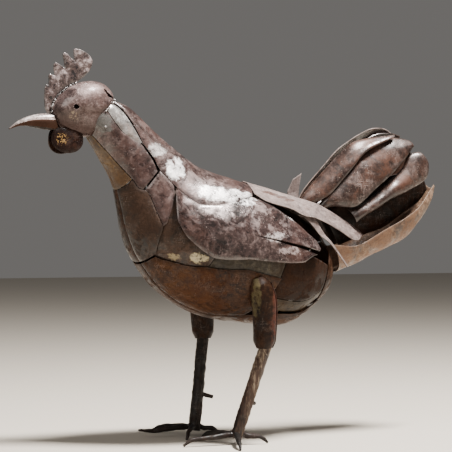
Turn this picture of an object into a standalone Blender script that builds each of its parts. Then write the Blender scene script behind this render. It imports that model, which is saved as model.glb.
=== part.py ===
"""Rooster sculpture welded from cut and bent scrap sheet steel, standing on two rod legs.

The bird looks along -X, its left side is -Y and +Z is up. The origin is the middle of the
bounding box at ground level. Free-form positions are shares of the height in steps of 1/610,
so that they read as millimetres on the 0.61 m bird. Their zero is the lower end of the shins,
which the bent toes hold just clear of the ground.
"""
import math

import bmesh
import bpy
import numpy as np
from mathutils import Matrix, Vector

HEIGHT = 0.610
UNIT = HEIGHT / 610.0

SHEET = 0.0016
FEATHER_SHEET = 0.0012
HEAVY_SHEET = 0.0028
SEAM = 0.0018
CLEARANCE = 0.0006
UNDERLAP = -0.0040

SHIN_RADIUS = 0.0090
SPUR_RADIUS = 0.0040
SPUR_LENGTH = 0.0170
SPUR_HEIGHT = 0.0590
TOE_RADIUS = 0.0048
THIGH_WALL = 0.0016
EYE_RADIUS = 0.0046
WATTLE_WIDTH = 0.0495
WATTLE_HEIGHT = 0.0400

LEFT = -1.0
RIGHT = 1.0

# Rings of the body from the head joint to the rump: top x, top z, bottom x, bottom z, half width.
RINGS = (
    (-193, 522, -245, 479.5, 25),
    (-163, 509, -214, 431, 29),
    (-126, 476, -194, 398, 36),
    (-92, 449, -184, 362, 48),
    (-60, 426, -175, 321, 62),
    (-30, 413, -157, 277, 78),
    (6, 403, -115, 226, 90),
    (52, 389, -50, 189, 96),
    (103, 369, 33, 174, 93),
    (146, 340, 96, 171, 78),
    (172, 306, 146, 198, 50),
)
# How far the widest line of a ring lies below its middle, as a share of its half height.
SAG = 0.08

# Seam lines on the body: share of the length from head to rump, angle from the ridge.
NAPE_EDGE = (
    (0, 23), (0.08, 44), (0.13, 47), (0.21, 45), (0.30, 36), (0.34, 24), (0.37, 4), (0.40, 0),
)
BACK_EDGE = (
    (0, 39), (0.03, 39), (0.09, 51), (0.18, 68), (0.25, 72), (0.29, 77), (0.37, 75),
    (0.50, 72), (0.56, 61), (0.62, 46), (0.66, 35),
)
CHEEK_EDGE = ((0, 70), (0.05, 79), (0.10, 83), (0.15, 79), (0.19, 73))
THROAT_EDGE = (
    (0, 168), (0.04, 148), (0.10, 137), (0.17, 132), (0.245, 123), (0.288, 120), (0.305, 113),
    (0.32, 109), (0.38, 111), (0.42, 113), (0.46, 115), (0.485, 128), (0.515, 143),
)
SHOULDER_EDGE = ((0.29, 77), (0.37, 75), (0.385, 78), (0.40, 84), (0.42, 91), (0.44, 100), (0.46, 111))
BELLY_EDGE = ((0.50, 147), (0.52, 143), (0.55, 132), (0.62, 114), (0.71, 100), (0.80, 101))
KEEL_EDGE = (
    (0.24, 172), (0.64, 171), (0.70, 166), (0.75, 154), (0.80, 143), (0.85, 138), (0.92, 136), (1.0, 137),
)
RUMP_EDGE = ((0.78, 123), (0.85, 122), (0.93, 120), (1.0, 117))
FLANK_EDGE = ((0.36, 146), (0.50, 147), (0.52, 145), (0.55, 136), (0.62, 119), (0.71, 105), (0.80, 105))
WING_TOP = (
    (0.37, 75), (0.50, 72), (0.56, 61), (0.62, 46), (0.66, 36), (0.72, 39), (0.79, 48), (0.84, 54),
    (0.90, 58),
)
WING_LOW = (
    (0.378, 75), (0.42, 87), (0.48, 100), (0.53, 104), (0.62, 104), (0.65, 100), (0.70, 92),
    (0.79, 87), (0.82, 84), (0.86, 78), (0.90, 74),
)
WING_SLIT = ((0.40, 76), (0.60, 76), (0.74, 72), (0.78, 72), (0.88, 69))
WING_SLIT_START = 0.69
WING_SLIT_LEVEL = 0.55
WING_SLIT_GAPE = (0.25, 3.45)
WING_FRONT = 0.392
WING_REAR = 0.884
# Rows of a wing: 0 to 1 is its upper blade and 1 to 2 its lower one, with the slit between.
WING_ROWS = (0.0, 0.33, 0.66, 1.0, 1.0, 1.5, 2.0)
WING_TIPS = ((0.0, 0.872), (0.7, 0.881), (1.0, 0.874), (2.0, 0.835))
WING_LIFT = 0.0058
WING_TIP_LIFT = 0.0045
WING_LOWER_TIP_LIFT = 0.0025
WING_LIP_LIFT = 0.0030
# Angle by which the upper edge of a wing keeps clear of the plate above it.
WING_TRIM = 0.65

HEAD_CENTRE = (-243.5, 513.5)
HEAD_SEMI_AXES = (51, 30, 32.5)
HEAD_PITCH = 0.39
EYE_CENTRE = (-261.8, 508.1)

COMB_OUTLINE = (
    (-299.5, 499), (-303, 509.5), (-303.5, 521.5), (-303, 536.5), (-300.5, 542.5), (-297, 541),
    (-296.5, 549), (-297, 555), (-295, 558.5), (-291.5, 558), (-286.5, 555.5), (-288.5, 566),
    (-288.5, 573), (-285.5, 576.5), (-281.5, 574.5), (-274, 571), (-270.5, 568), (-272, 578.5),
    (-274, 588.5), (-271.5, 592), (-267.5, 590.5), (-262.5, 586), (-256.5, 581), (-254.5, 578),
    (-256, 588.5), (-256, 597), (-253.5, 598.5), (-245.5, 597.5), (-236, 593), (-229, 588),
    (-225.5, 580.5), (-227, 572), (-231.5, 564), (-239, 556.5), (-246.5, 550.5),
)

# Each sheet of the left tail fan: one edge, then the other, as x, y, z from root to tip.
TAIL_BLADES = {
    "tail_top": (
        (
            (120, -8, 361), (134, -9, 382), (171, -11, 421), (192, -13, 442), (218, -16, 464),
            (252, -20, 473), (291, -27, 478),
        ),
        (
            (129, -12, 355), (150, -20, 366), (172, -27, 379), (194, -32, 404), (211, -34, 423),
            (235, -35, 448), (285, -32, 470),
        ),
    ),
    "tail_side": (
        (
            (150, -13, 350), (163, -15, 371), (176, -19, 389), (201, -24, 414), (226, -24, 441),
            (266, -22, 468), (300, -22, 473), (321, -25, 469),
        ),
        (
            (157, -15, 348), (176, -19, 357), (194, -31, 358), (217, -38, 361), (249, -40, 388),
            (279, -40, 412), (307, -38, 440), (326, -32, 458),
        ),
    ),
    "tail_finger": (
        (
            (206, -22, 356), (234, -25, 369), (256, -27, 384), (281, -27, 403), (303, -27, 422),
            (313, -27, 441), (323, -27, 448), (335, -28, 451),
        ),
        (
            (217, -34, 333), (231, -37, 344), (254, -38, 356), (278, -38, 370), (316, -37, 387),
            (346, -36, 405), (353, -34, 428), (346, -31, 443),
        ),
    ),
    "tail_inner": (
        (
            (167, -8, 351), (208, -13, 372), (248, -17, 391), (282, -18, 404), (316, -18, 414),
            (345, -18, 418),
        ),
        (
            (196, -11, 296), (236, -16, 312), (274, -19, 325), (311, -19, 348), (343, -15, 367),
            (363, -11, 388),
        ),
    ),
}
TAIL_BULGE = {"tail_top": 5, "tail_side": 6, "tail_finger": 9, "tail_inner": 5}
# The far fan stands a little higher and further back than the near one, with a fuller top sheet.
FAR_FAN_SHIFT = (10, 0, 10)
FAR_TOP_EDGE = (
    (120, -8, 361), (134, -9, 382), (171, -11, 420), (192, -13, 441), (212, -15, 455), (238, -16, 470),
    (264, -20, 480), (292, -26, 480), (313, -29, 468),
)

# The trough under the tail: keel x, keel z, rim x, rim z, half width.
TROUGH = (
    (192, 253, 168, 298, 47),
    (230, 268, 212, 297, 46),
    (275, 288, 262, 321, 44),
    (317, 306, 304, 341, 40),
    (348, 337, 333, 359, 34),
    (370, 366, 356, 382, 25),
    (379, 391, 374, 397, 13),
)

SADDLE_TOP = (
    (33, -7, 397), (60, -12, 390), (86, -18, 382), (114, -24, 373.5), (146, -24, 365), (170, -24, 354),
    (202, -24, 337), (225, -24, 322), (235, -24, 313),
)
SADDLE_LOW = (
    (25, -53, 378.5), (46.5, -57, 366), (87, -56, 355.5), (112, -54, 344.5), (132, -52, 341), (156, -50, 332),
    (182, -48, 319), (203, -45, 307), (217, -42, 305),
)
HACKLE_TOP = (
    (119, -46, 345), (133, -47, 340), (142, -48, 328), (151.5, -49, 314), (163, -51, 301.5),
    (190, -53, 265.5),
)
HACKLE_LOW = (
    (104, -48, 346), (114, -50, 341.5), (127.5, -51, 329), (141, -52, 313.5), (160.5, -53, 298.5),
    (188.5, -54, 262.5),
)

TAB_OUTLINE = ((125, 371), (124, 384), (134, 404), (150, 414), (146, 392), (144, 370))
TAB_OFFSET = 31

# Leg joints of each side as x, y, z: thigh top, thigh middle, thigh mouth, shin foot.
LEGS = {
    "left": ((12, -84, 248), (24, -88, 210), (26, -85, 139), (-14, -65, 0)),
    "right": ((2, 84, 250), (-3, 88, 212), (-2, 85, 146), (-26, 65, 0)),
}
THIGH_RADII = (13.5, 18, 19.3, 18.7, 16.5, 12.2)
THIGH_LEVELS = (0.0, 0.17, 0.42, 0.70, 0.93, 1.0)

# Toes as x, y, z offsets from the foot, measured for the left foot (outward is -y).
TOES = {
    "left": {
        "middle": ((-26, 0, 4), (-51, 0, 2), (-73, 1, 0), (-87, 2, -8)),
        "outer": ((-12, -32, 5), (-23, -62, 0), (-30, -81, -8)),
        "inner": ((-16, 26, 7), (-27, 46, 4), (-35, 60, -8)),
        "rear": ((20, -7, 3), (38, -11, 1), (49, -13, -8)),
    },
    "right": {
        "middle": ((-34, -5, 5), (-64, -13, 1), (-88, -22, 2)),
        "outer": ((-13, -34, 5), (-32, -59, 2), (-46, -78, -8)),
        "inner": ((-15, 22, 6), (-26, 37, 3), (-34, 48, -8)),
        "rear": ((20, -6, 3), (38, -10, 1), (50, -13, -8)),
    },
}
TOE_ROOT_HEIGHT = 6
TOE_GAP = 0.0022
SPUR_GAP = 0.0012
SPUR_WAY = {"left": (0.72, 0.64, -0.27), "right": (0.96, 0.0, -0.26)}
SHIN_OVERLAP = 0.22
BODY_TOOL_GAP = 0.0022

RUMP_DOME = 0.024
# Angle from the ridge that the plate on the croup covers on each side.
CROUP_REACH = {LEFT: 30.0, RIGHT: 69.0}
BEAK_RIDGE = ((-293, 499), (-312, 497.3), (-328, 493.6), (-343, 487.5), (-352, 481), (-359, 475))
BEAK_DEPTHS = (25, 20.5, 15, 8.5, 4.5, 2)
BEAK_WIDTHS = (13, 11.5, 9.5, 7, 4.5, 2)
# Half section of the upper beak from ridge to lower edge: share of width, share of depth.
BEAK_SECTION = ((0, 0), (0.66, 0.15), (1.0, 0.5), (0.78, 1.0))
# How much further back than its ridge the sides of the beak reach along the head.
BEAK_LAP = 9
JAW_KEEL = ((-281, 473.2), (-302, 473.8), (-319, 476.6), (-335, 479.2))
JAW_RISES = (4, 6, 4, 2)
JAW_WIDTHS = (7.2, 6.6, 5.0, 2.4)
WATTLE_CENTRE = (-270.5, 16, 457.8)
# Power that squares off the upper half of a wattle, and how far it narrows at the top.
WATTLE_SQUARE = 0.55
WATTLE_TAPER = 0.06
WATTLE_DISH = 0.003
WATTLE_TILT = 0.002

STEEL = {
    "rust_brown": (0.16, 0.085, 0.065),
    "dark_steel": (0.08, 0.055, 0.055),
    "belly_rust": (0.20, 0.09, 0.05),
    "bare_grey": (0.26, 0.24, 0.25),
    "strip_tan": (0.36, 0.27, 0.24),
    "tail_rust": (0.20, 0.12, 0.09),
    "rod_steel": (0.10, 0.07, 0.06),
}


def clear_scene():
    """Empties the file, so that the part alone is built."""
    for item in list(bpy.data.objects):
        bpy.data.objects.remove(item, do_unlink=True)
    for mesh in list(bpy.data.meshes):
        bpy.data.meshes.remove(mesh)


def steel(name):
    """One painted or rusted steel surface."""
    if name in bpy.data.materials:
        return bpy.data.materials[name]
    material = bpy.data.materials.new(name)
    material.use_nodes = True
    shader = material.node_tree.nodes["Principled BSDF"]
    shader.inputs["Base Color"].default_value = (*STEEL[name], 1.0)
    shader.inputs["Metallic"].default_value = 0.6
    shader.inputs["Roughness"].default_value = 0.5
    return material


def spline(points, share):
    """Point at a share of the way along a smooth line through the given points."""
    points = np.asarray(points, float)
    last = len(points) - 1
    place = share * last
    index = min(max(int(math.floor(place)), 0), last - 1)
    f = place - index
    before = points[index - 1] if index > 0 else 2 * points[0] - points[1]
    after = points[index + 2] if index < last - 1 else 2 * points[last] - points[last - 1]
    here = points[index]
    there = points[index + 1]
    return 0.5 * (
        2 * here
        + (there - before) * f
        + (2 * before - 5 * here + 4 * there - after) * f ** 2
        + (3 * here - before - 3 * there + after) * f ** 3
    )


def along(line, u):
    """Angle of a seam line at u, with its corners eased."""
    us = [p[0] for p in line]
    angles = [p[1] for p in line]
    ease = 0.006
    return float(sum(np.interp(u + d, us, angles) for d in (-ease, 0.0, ease)) / 3.0)


def ring_point(u, phi, side):
    """Point of the body surface; phi in radians from the ridge."""
    top_x, top_z, low_x, low_z, width = spline(RINGS, u)
    drop = math.cos(phi) - SAG * math.sin(phi) ** 2
    x = (top_x + low_x) / 2 + (top_x - low_x) / 2 * drop
    z = (top_z + low_z) / 2 + (top_z - low_z) / 2 * drop
    return np.array((x, side * width * math.sin(phi), z)) * UNIT


def skin(u, angle, side, lift=0.0):
    """Point at the given lift above the body surface; angle in degrees from the ridge."""
    phi = math.radians(angle)
    point = ring_point(u, phi, side)
    if lift == 0.0:
        return point
    step = 0.002
    du = ring_point(u + step, phi, side) - ring_point(u - step, phi, side)
    dp = ring_point(u, phi + step, side) - ring_point(u, phi - step, side)
    normal = np.cross(dp, du) * -side
    return point + normal / np.linalg.norm(normal) * lift


def head_axes():
    """Long axis, side axis and upright axis of the head, in the world."""
    c = math.cos(HEAD_PITCH)
    s = math.sin(HEAD_PITCH)
    return np.array((c, 0, s)), np.array((0, 1, 0)), np.array((-s, 0, c))


def head_joint():
    """A point and the rearward normal of the plane where the neck meets the head."""
    top_x, top_z, low_x, low_z, _ = RINGS[0]
    span = np.array((top_x - low_x, 0, top_z - low_z), float)
    normal = np.array((span[2], 0, -span[0])) / np.linalg.norm(span)
    return np.array((top_x, 0, top_z)) * UNIT, normal


def neck_start(angle, side):
    """Share of the length at which the skin leaves the head joint, one seam behind it."""
    point, normal = head_joint()
    low = -0.06
    high = 0.06
    for _ in range(30):
        middle = (low + high) / 2
        if (skin(middle, angle, side) - point) @ normal > SEAM:
            high = middle
        else:
            low = middle
    return high


def add_object(name, mesh, material, group, root):
    """Links a mesh into the part under its root, with its own material."""
    item = bpy.data.objects.new(name, mesh)
    item.data.materials.append(steel(material))
    group.objects.link(item)
    item.parent = root
    return item


def shade(item, smooth=True):
    """Sets smooth or flat shading on every face."""
    for face in item.data.polygons:
        face.use_smooth = smooth


class Builder:
    """Makes the pieces and keeps their collections and root."""

    def __init__(self):
        self.group = bpy.data.collections.new("scrap_metal_rooster")
        self.tools = bpy.data.collections.new("cutters")
        bpy.context.scene.collection.children.link(self.group)
        bpy.context.scene.collection.children.link(self.tools)
        self.root = bpy.data.objects.new("rooster_root", None)
        self.group.objects.link(self.root)

    def sheet(self, name, point, outward, columns, rows, thickness, material, drop=None):
        """A bent sheet: point(t, s) over the unit square, thickened away from its outer face."""
        bm = bmesh.new()
        bmesh.ops.create_grid(bm, x_segments=columns, y_segments=rows, size=1.0)
        places = {}
        for vert in bm.verts:
            t = (vert.co.x + 1) / 2
            s = (vert.co.y + 1) / 2
            places[vert] = (t, s)
        if drop is not None:
            doomed = []
            for face in bm.faces:
                t = sum(places[v][0] for v in face.verts) / 4
                s = sum(places[v][1] for v in face.verts) / 4
                if drop(t, s):
                    doomed.append(face)
            bmesh.ops.delete(bm, geom=doomed, context="FACES")
        for vert in bm.verts:
            vert.co = Vector(point(*places[vert]))
        bm.normal_update()
        score = 0.0
        for face in bm.faces:
            t = sum(places[v][0] for v in face.verts) / 4
            s = sum(places[v][1] for v in face.verts) / 4
            score += face.normal.dot(Vector(outward(t, s))) * face.calc_area()
        if score < 0:
            bmesh.ops.reverse_faces(bm, faces=bm.faces[:])
        mesh = bpy.data.meshes.new(name)
        bm.to_mesh(mesh)
        bm.free()
        item = add_object(name, mesh, material, self.group, self.root)
        wall = item.modifiers.new("wall", "SOLIDIFY")
        wall.thickness = thickness
        wall.offset = -1.0
        shade(item)
        return item

    def plate(self, name, side, edge_a, edge_b, start, end, columns, rows, material, lift=0.0):
        """A plate of the body between two seam lines and from start to end along the body."""
        def angle_of(edge, u):
            if isinstance(edge, (int, float)):
                return float(edge)
            return along(edge, u)

        def end_of(limit, s):
            if isinstance(limit, (int, float)):
                return float(limit)
            steps = [i / (len(limit) - 1) for i in range(len(limit))]
            return float(np.interp(s, steps, limit))

        def place(t, s):
            first = end_of(start, s)
            last = end_of(end, s)
            u = first + (last - first) * t
            a = angle_of(edge_a, u)
            b = angle_of(edge_b, u)
            across = np.linalg.norm(skin(u, a, side) - skin(u, b, side))
            margin = min(SEAM / 2 / max(across, 1e-6), 0.3)
            v = margin + (1 - 2 * margin) * s
            return u, a + (b - a) * v

        def trimmed(t, s):
            near = skin(*place(0.45, s), side)
            far = skin(*place(0.55, s), side)
            length = np.linalg.norm(far - near) * 10
            margin = min(SEAM / 2 / max(length, 1e-6), 0.2)
            return place(margin + (1 - 2 * margin) * t, s)

        def point(t, s):
            u, angle = trimmed(t, s)
            return skin(u, angle, side, lift)

        def outward(t, s):
            u, angle = trimmed(t, s)
            return skin(u, angle, side, 0.01) - skin(u, angle, side)

        return self.sheet(name, point, outward, columns, rows, SHEET, material)

    def ribbon(
        self, name, edge_a, edge_b, columns, rows, bulge, outward, thickness, material, side=LEFT,
        shift=(0, 0, 0),
    ):
        """A free sheet between two smooth edges, bulging towards its outer side."""
        facing = np.array(outward, float)
        facing /= np.linalg.norm(facing)
        moved = np.array(shift, float)

        def flip(p):
            return np.array((p[0], p[1] * -side, p[2]))

        def point(t, s):
            a = spline(edge_a, t)
            b = spline(edge_b, t)
            swell = bulge * 4 * s * (1 - s) * math.sin(math.pi * min(0.12 + 0.8 * t, 0.92)) ** 0.5
            return (flip(a + (b - a) * s + facing * swell) + moved) * UNIT

        return self.sheet(name, point, lambda t, s: flip(facing), columns, rows, thickness, material)

    def slab(self, name, outline, y, thickness, material):
        """A flat plate cut to an outline in the upright plane, centred on y."""
        bm = bmesh.new()
        verts = [bm.verts.new((x * UNIT, y, z * UNIT)) for x, z in outline]
        for here, there in zip(verts, verts[1:] + verts[:1]):
            bm.edges.new((here, there))
        bmesh.ops.contextual_create(bm, geom=bm.edges[:])
        mesh = bpy.data.meshes.new(name)
        bm.to_mesh(mesh)
        bm.free()
        item = add_object(name, mesh, material, self.group, self.root)
        wall = item.modifiers.new("wall", "SOLIDIFY")
        wall.thickness = thickness
        wall.offset = 0.0
        return item

    def tube(self, name, points, radii, material, sides, capped):
        """A round skin swept along the points, given in metres, with a radius at each."""
        curve = bpy.data.curves.new(name, "CURVE")
        curve.dimensions = "3D"
        curve.bevel_depth = 1.0
        curve.bevel_resolution = sides
        curve.use_fill_caps = capped
        line = curve.splines.new("POLY")
        line.points.add(len(points) - 1)
        for knot, place, radius in zip(line.points, points, radii):
            knot.co = (*place, 1.0)
            knot.radius = radius
        line.use_smooth = True
        path = bpy.data.objects.new(name + "_path", curve)
        mesh = bpy.data.meshes.new_from_object(path)
        mesh.name = name
        bpy.data.objects.remove(path, do_unlink=True)
        bpy.data.curves.remove(curve)
        item = add_object(name, mesh, material, self.group, self.root)
        weld = item.modifiers.new("weld", "WELD")
        weld.merge_threshold = 0.00005
        return item

    def cutter(self, name, mesh):
        """A hidden tool body for a Boolean."""
        item = bpy.data.objects.new(name, mesh)
        self.tools.objects.link(item)
        item.parent = self.root
        item.hide_render = True
        item.display_type = "WIRE"
        return item

    def cut(self, item, tool):
        """Takes the tool out of the piece."""
        step = item.modifiers.new("cut " + tool.name, "BOOLEAN")
        step.operation = "DIFFERENCE"
        step.solver = "EXACT"
        step.object = tool


def head_point(direction):
    """Point of the head surface in a unit direction of the head's own frame."""
    long_axis, side_axis, up_axis = head_axes()
    a, b, c = HEAD_SEMI_AXES
    centre = np.array((HEAD_CENTRE[0], 0, HEAD_CENTRE[1]))
    swing = long_axis * a * direction[0] + side_axis * b * direction[1] + up_axis * c * direction[2]
    return (centre + swing) * UNIT


def build_head(make):
    """The dome of the head, open to the neck and drilled through for the eyes."""
    long_axis, side_axis, up_axis = head_axes()
    point, normal = head_joint()
    a, b, c = HEAD_SEMI_AXES
    pole = -np.array((long_axis @ normal * a, 0, up_axis @ normal * c))
    pole /= np.linalg.norm(pole)
    side = np.array((0.0, 1.0, 0.0))
    third = np.cross(pole, side)

    def place(polar, turn):
        sideways = side * math.cos(turn) + third * math.sin(turn)
        return head_point(pole * math.cos(polar) + sideways * math.sin(polar))

    def rim_angle(turn):
        low = math.radians(60)
        high = math.radians(170)
        for _ in range(30):
            middle = (low + high) / 2
            if (place(middle, turn) - point) @ normal > 0:
                high = middle
            else:
                low = middle
        return low

    bm = bmesh.new()
    rings = 9
    bmesh.ops.create_uvsphere(bm, u_segments=20, v_segments=rings, radius=1.0)
    far_pole = min(bm.verts, key=lambda v: v.co.z)
    bmesh.ops.delete(bm, geom=[far_pole], context="VERTS")
    for vert in bm.verts:
        polar = math.acos(max(-1.0, min(1.0, vert.co.z)))
        turn = math.atan2(vert.co.y, vert.co.x)
        share = polar / (math.pi * (rings - 1) / rings)
        vert.co = Vector(place(share * rim_angle(turn), turn))
    bmesh.ops.recalc_face_normals(bm, faces=bm.faces[:])
    centre = Vector((HEAD_CENTRE[0] * UNIT, 0, HEAD_CENTRE[1] * UNIT))
    bm.faces.ensure_lookup_table()
    bm.normal_update()
    probe = bm.faces[0]
    if probe.normal.dot(probe.calc_center_median() - centre) < 0:
        bmesh.ops.reverse_faces(bm, faces=bm.faces[:])
    mesh = bpy.data.meshes.new("head_shell")
    bm.to_mesh(mesh)
    bm.free()
    head = add_object("head_shell", mesh, "rust_brown", make.group, make.root)
    wall = head.modifiers.new("wall", "SOLIDIFY")
    wall.thickness = SHEET
    wall.offset = -1.0
    shade(head)

    drill = bmesh.new()
    bmesh.ops.create_cone(
        drill, cap_ends=True, segments=12, radius1=EYE_RADIUS, radius2=EYE_RADIUS, depth=0.2,
    )
    tilt = Matrix.Rotation(math.pi / 2, 4, "X")
    bmesh.ops.transform(drill, matrix=tilt, verts=drill.verts[:])
    mesh = bpy.data.meshes.new("eye_drill")
    drill.to_mesh(mesh)
    drill.free()
    tool = make.cutter("eye_drill", mesh)
    tool.location = (EYE_CENTRE[0] * UNIT, 0, EYE_CENTRE[1] * UNIT)
    make.cut(head, tool)
    return head


def build_comb(make):
    """The comb, cut from one plate; its foot follows the head at the clearance."""
    foot = []
    for turn in np.radians((86, 98, 111, 125, 140, 155, 169)):
        direction = np.array((math.cos(turn), 0, math.sin(turn)))
        place = head_point(direction)
        centre = np.array((HEAD_CENTRE[0], 0, HEAD_CENTRE[1])) * UNIT
        ray = place - centre
        place = place + ray / np.linalg.norm(ray) * 2 * CLEARANCE
        foot.append((place[0] / UNIT, place[2] / UNIT))
    return make.slab("comb", COMB_OUTLINE + tuple(foot), 0.0, HEAVY_SHEET, "rust_brown")


def build_beak(make):
    """A folded, hooked upper sheet and a smaller trough-shaped one that closes its underside."""
    def upper(t, s):
        x, z = spline(BEAK_RIDGE, t)
        across = 2 * s - 1
        depth = spline([(d,) for d in BEAK_DEPTHS], t)[0]
        width = spline([(w,) for w in BEAK_WIDTHS], t)[0]
        knots = np.linspace(0, 1, len(BEAK_SECTION))
        out = np.interp(abs(across), knots, [p[0] for p in BEAK_SECTION])
        down = np.interp(abs(across), knots, [p[1] for p in BEAK_SECTION])
        lap = BEAK_LAP * down * (1 - t)
        return np.array((x + lap, width * math.copysign(out, across), z - depth * down)) * UNIT

    make.sheet("beak_upper", upper, lambda t, s: (0, (s - 0.5), 1), 7, 6, SHEET, "rust_brown")

    def lower(t, s):
        x, z = spline(JAW_KEEL, t)
        across = 2 * s - 1
        rise = spline([(r,) for r in JAW_RISES], t)[0]
        width = spline([(w,) for w in JAW_WIDTHS], t)[0]
        return np.array((x, width * across, z + rise * across ** 2)) * UNIT

    make.sheet("beak_lower", lower, lambda t, s: (0, (s - 0.5), -1), 5, 4, SHEET, "dark_steel")


def build_wattles(make):
    """Two dished lobes hanging under the jaw, rounded below and squared off above."""
    for word, side in (("left", LEFT), ("right", RIGHT)):
        bm = bmesh.new()
        bmesh.ops.create_circle(bm, cap_ends=True, cap_tris=True, segments=18, radius=1.0)
        for vert in bm.verts:
            across = vert.co.x
            upward = vert.co.y
            dish = 1 - across ** 2 - upward ** 2
            if upward > 0:
                across = math.copysign(abs(across) ** WATTLE_SQUARE, across) * (1 - WATTLE_TAPER * upward)
                upward = upward ** WATTLE_SQUARE
            vert.co = Vector((
                across * WATTLE_WIDTH / 2,
                side * (WATTLE_DISH * dish - WATTLE_TILT * upward),
                upward * WATTLE_HEIGHT / 2,
            ))
        bm.normal_update()
        bm.faces.ensure_lookup_table()
        if bm.faces[0].normal.y * side < 0:
            bmesh.ops.reverse_faces(bm, faces=bm.faces[:])
        mesh = bpy.data.meshes.new("wattle_" + word)
        bm.to_mesh(mesh)
        bm.free()
        item = add_object("wattle_" + word, mesh, "dark_steel", make.group, make.root)
        x, y, z = WATTLE_CENTRE
        item.location = (x * UNIT, side * y * UNIT, z * UNIT)
        wall = item.modifiers.new("wall", "SOLIDIFY")
        wall.thickness = SHEET
        wall.offset = -1.0
        shade(item)


def build_body(make):
    """The plates of the neck, breast, belly, back and rump."""
    def start_of(*angles):
        return [neck_start(angle, LEFT) for angle in angles]

    def nape_point(t, s):
        first = neck_start(0, LEFT)
        u = first + (0.36 - first) * (0.004 + 0.992 * t)
        angle = along(NAPE_EDGE, u) * (2 * s - 1)
        point = skin(u, abs(angle), LEFT if angle < 0 else RIGHT)
        if abs(2 * s - 1) > 0.99:
            point = point - np.array((0, math.copysign(CLEARANCE, angle), 0))
        return point

    def nape_outward(t, s):
        return (0, (s - 0.5), 1)

    make.sheet("nape_plate", nape_point, nape_outward, 7, 6, SHEET, "rust_brown")

    for word, side in (("left", LEFT), ("right", RIGHT)):
        make.plate(
            "back_plate_" + word, side, NAPE_EDGE, BACK_EDGE, start_of(26, 38), 0.66, 13, 5, "rust_brown",
        )
        top = CHEEK_EDGE[:-1] + BACK_EDGE[4:6] if side == LEFT else BACK_EDGE
        if side == LEFT:
            make.plate("cheek_plate", side, BACK_EDGE, CHEEK_EDGE, start_of(39, 70), 0.178, 5, 2, "bare_grey")
        make.plate(
            "neck_plate_" + word, side, top, THROAT_EDGE, start_of(70, 90, 110, 130, 150, 165),
            (0.292, 0.297, 0.303), 8, 5, "rust_brown",
        )
        make.plate("throat_plate_" + word, side, THROAT_EDGE, 180, 0.014, 0.243, 7, 3, "belly_rust")
        make.plate(
            "shoulder_plate_" + word, side, SHOULDER_EDGE, THROAT_EDGE, (0.296, 0.301, 0.308), 0.458, 5, 3,
            "rust_brown",
        )
        make.plate("breast_plate_" + word, side, THROAT_EDGE, KEEL_EDGE, 0.243, 0.512, 8, 5, "dark_steel")
        make.plate(
            "belly_plate_" + word, side, BELLY_EDGE, KEEL_EDGE, 0.515, (0.792, 0.785, 0.765), 8, 6,
            "belly_rust",
        )
        if side == LEFT:
            make.plate(
                "flank_plate_front_left", side, 70, FLANK_EDGE, (0.375, 0.43, 0.50), 0.627, 7, 5,
                "dark_steel", lift=UNDERLAP,
            )
            make.plate(
                "flank_plate_rear_left", side, 70, FLANK_EDGE, 0.627, 0.792, 4, 3, "bare_grey", lift=UNDERLAP,
            )
            make.plate(
                "rump_plate_left", side, 70, RUMP_EDGE, 0.792, 1.0, 6, 4, "belly_rust", lift=UNDERLAP,
            )
            make.plate(
                "rump_band_left", side, RUMP_EDGE, KEEL_EDGE, 0.800, 1.0, 6, 2, "bare_grey", lift=UNDERLAP,
            )
        else:
            make.plate(
                "flank_plate_right", side, 70, FLANK_EDGE, (0.375, 0.43, 0.50), 0.792, 10, 5, "dark_steel",
                lift=UNDERLAP,
            )
            make.plate(
                "rump_plate_right", side, 70, KEEL_EDGE, (0.792, 0.792, 0.800), 1.0, 6, 5, "belly_rust",
                lift=UNDERLAP,
            )

    def centred(edge, first, last):
        def point(t, s):
            across = 2 * s - 1
            u = first + (last - first) * (0.004 + 0.992 * t)
            side = LEFT if across < 0 else RIGHT
            if edge is None:
                return skin(u, CROUP_REACH[side] * abs(across), side, UNDERLAP)
            angle = 180 - (180 - along(edge, u) - 0.8) * abs(across)
            return skin(u, angle, side)
        return point

    make.sheet(
        "breast_strip", centred(KEEL_EDGE, 0.243, 0.512), lambda t, s: (-1, 0, -0.4), 7, 2, SHEET,
        "belly_rust",
    )
    make.sheet(
        "keel_plate", centred(KEEL_EDGE, 0.515, 1.0), lambda t, s: (0, 0, -1), 14, 6, SHEET, "belly_rust",
    )
    make.sheet(
        "croup_plate", centred(None, 0.645, 1.0), lambda t, s: (0.3, 0, 1), 7, 8, SHEET, "dark_steel",
    )

    rear = spline(RINGS, 1.0)
    middle = np.array(((rear[0] + rear[2]) / 2, 0, (rear[1] + rear[3]) / 2)) * UNIT
    span = np.array((rear[0] - rear[2], 0, rear[1] - rear[3]))
    facing = np.array((span[2], 0, -span[0])) / np.linalg.norm(span)

    def cap_point(t, s):
        x = 2 * t - 1
        y = 2 * s - 1
        dx = x * math.sqrt(1 - y * y / 2)
        dy = y * math.sqrt(1 - x * x / 2)
        radius = min(math.hypot(dx, dy), 1.0)
        angle = math.degrees(math.atan2(abs(dx), dy)) if radius > 1e-6 else 0.0
        rim = skin(1.0, angle, LEFT if dx < 0 else RIGHT, UNDERLAP)
        dome = RUMP_DOME * (1 - radius ** 2.4)
        return middle + (rim - middle) * radius + facing * (dome + SEAM)

    make.sheet("rump_cap", cap_point, lambda t, s: facing, 6, 6, SHEET, "belly_rust")


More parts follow.
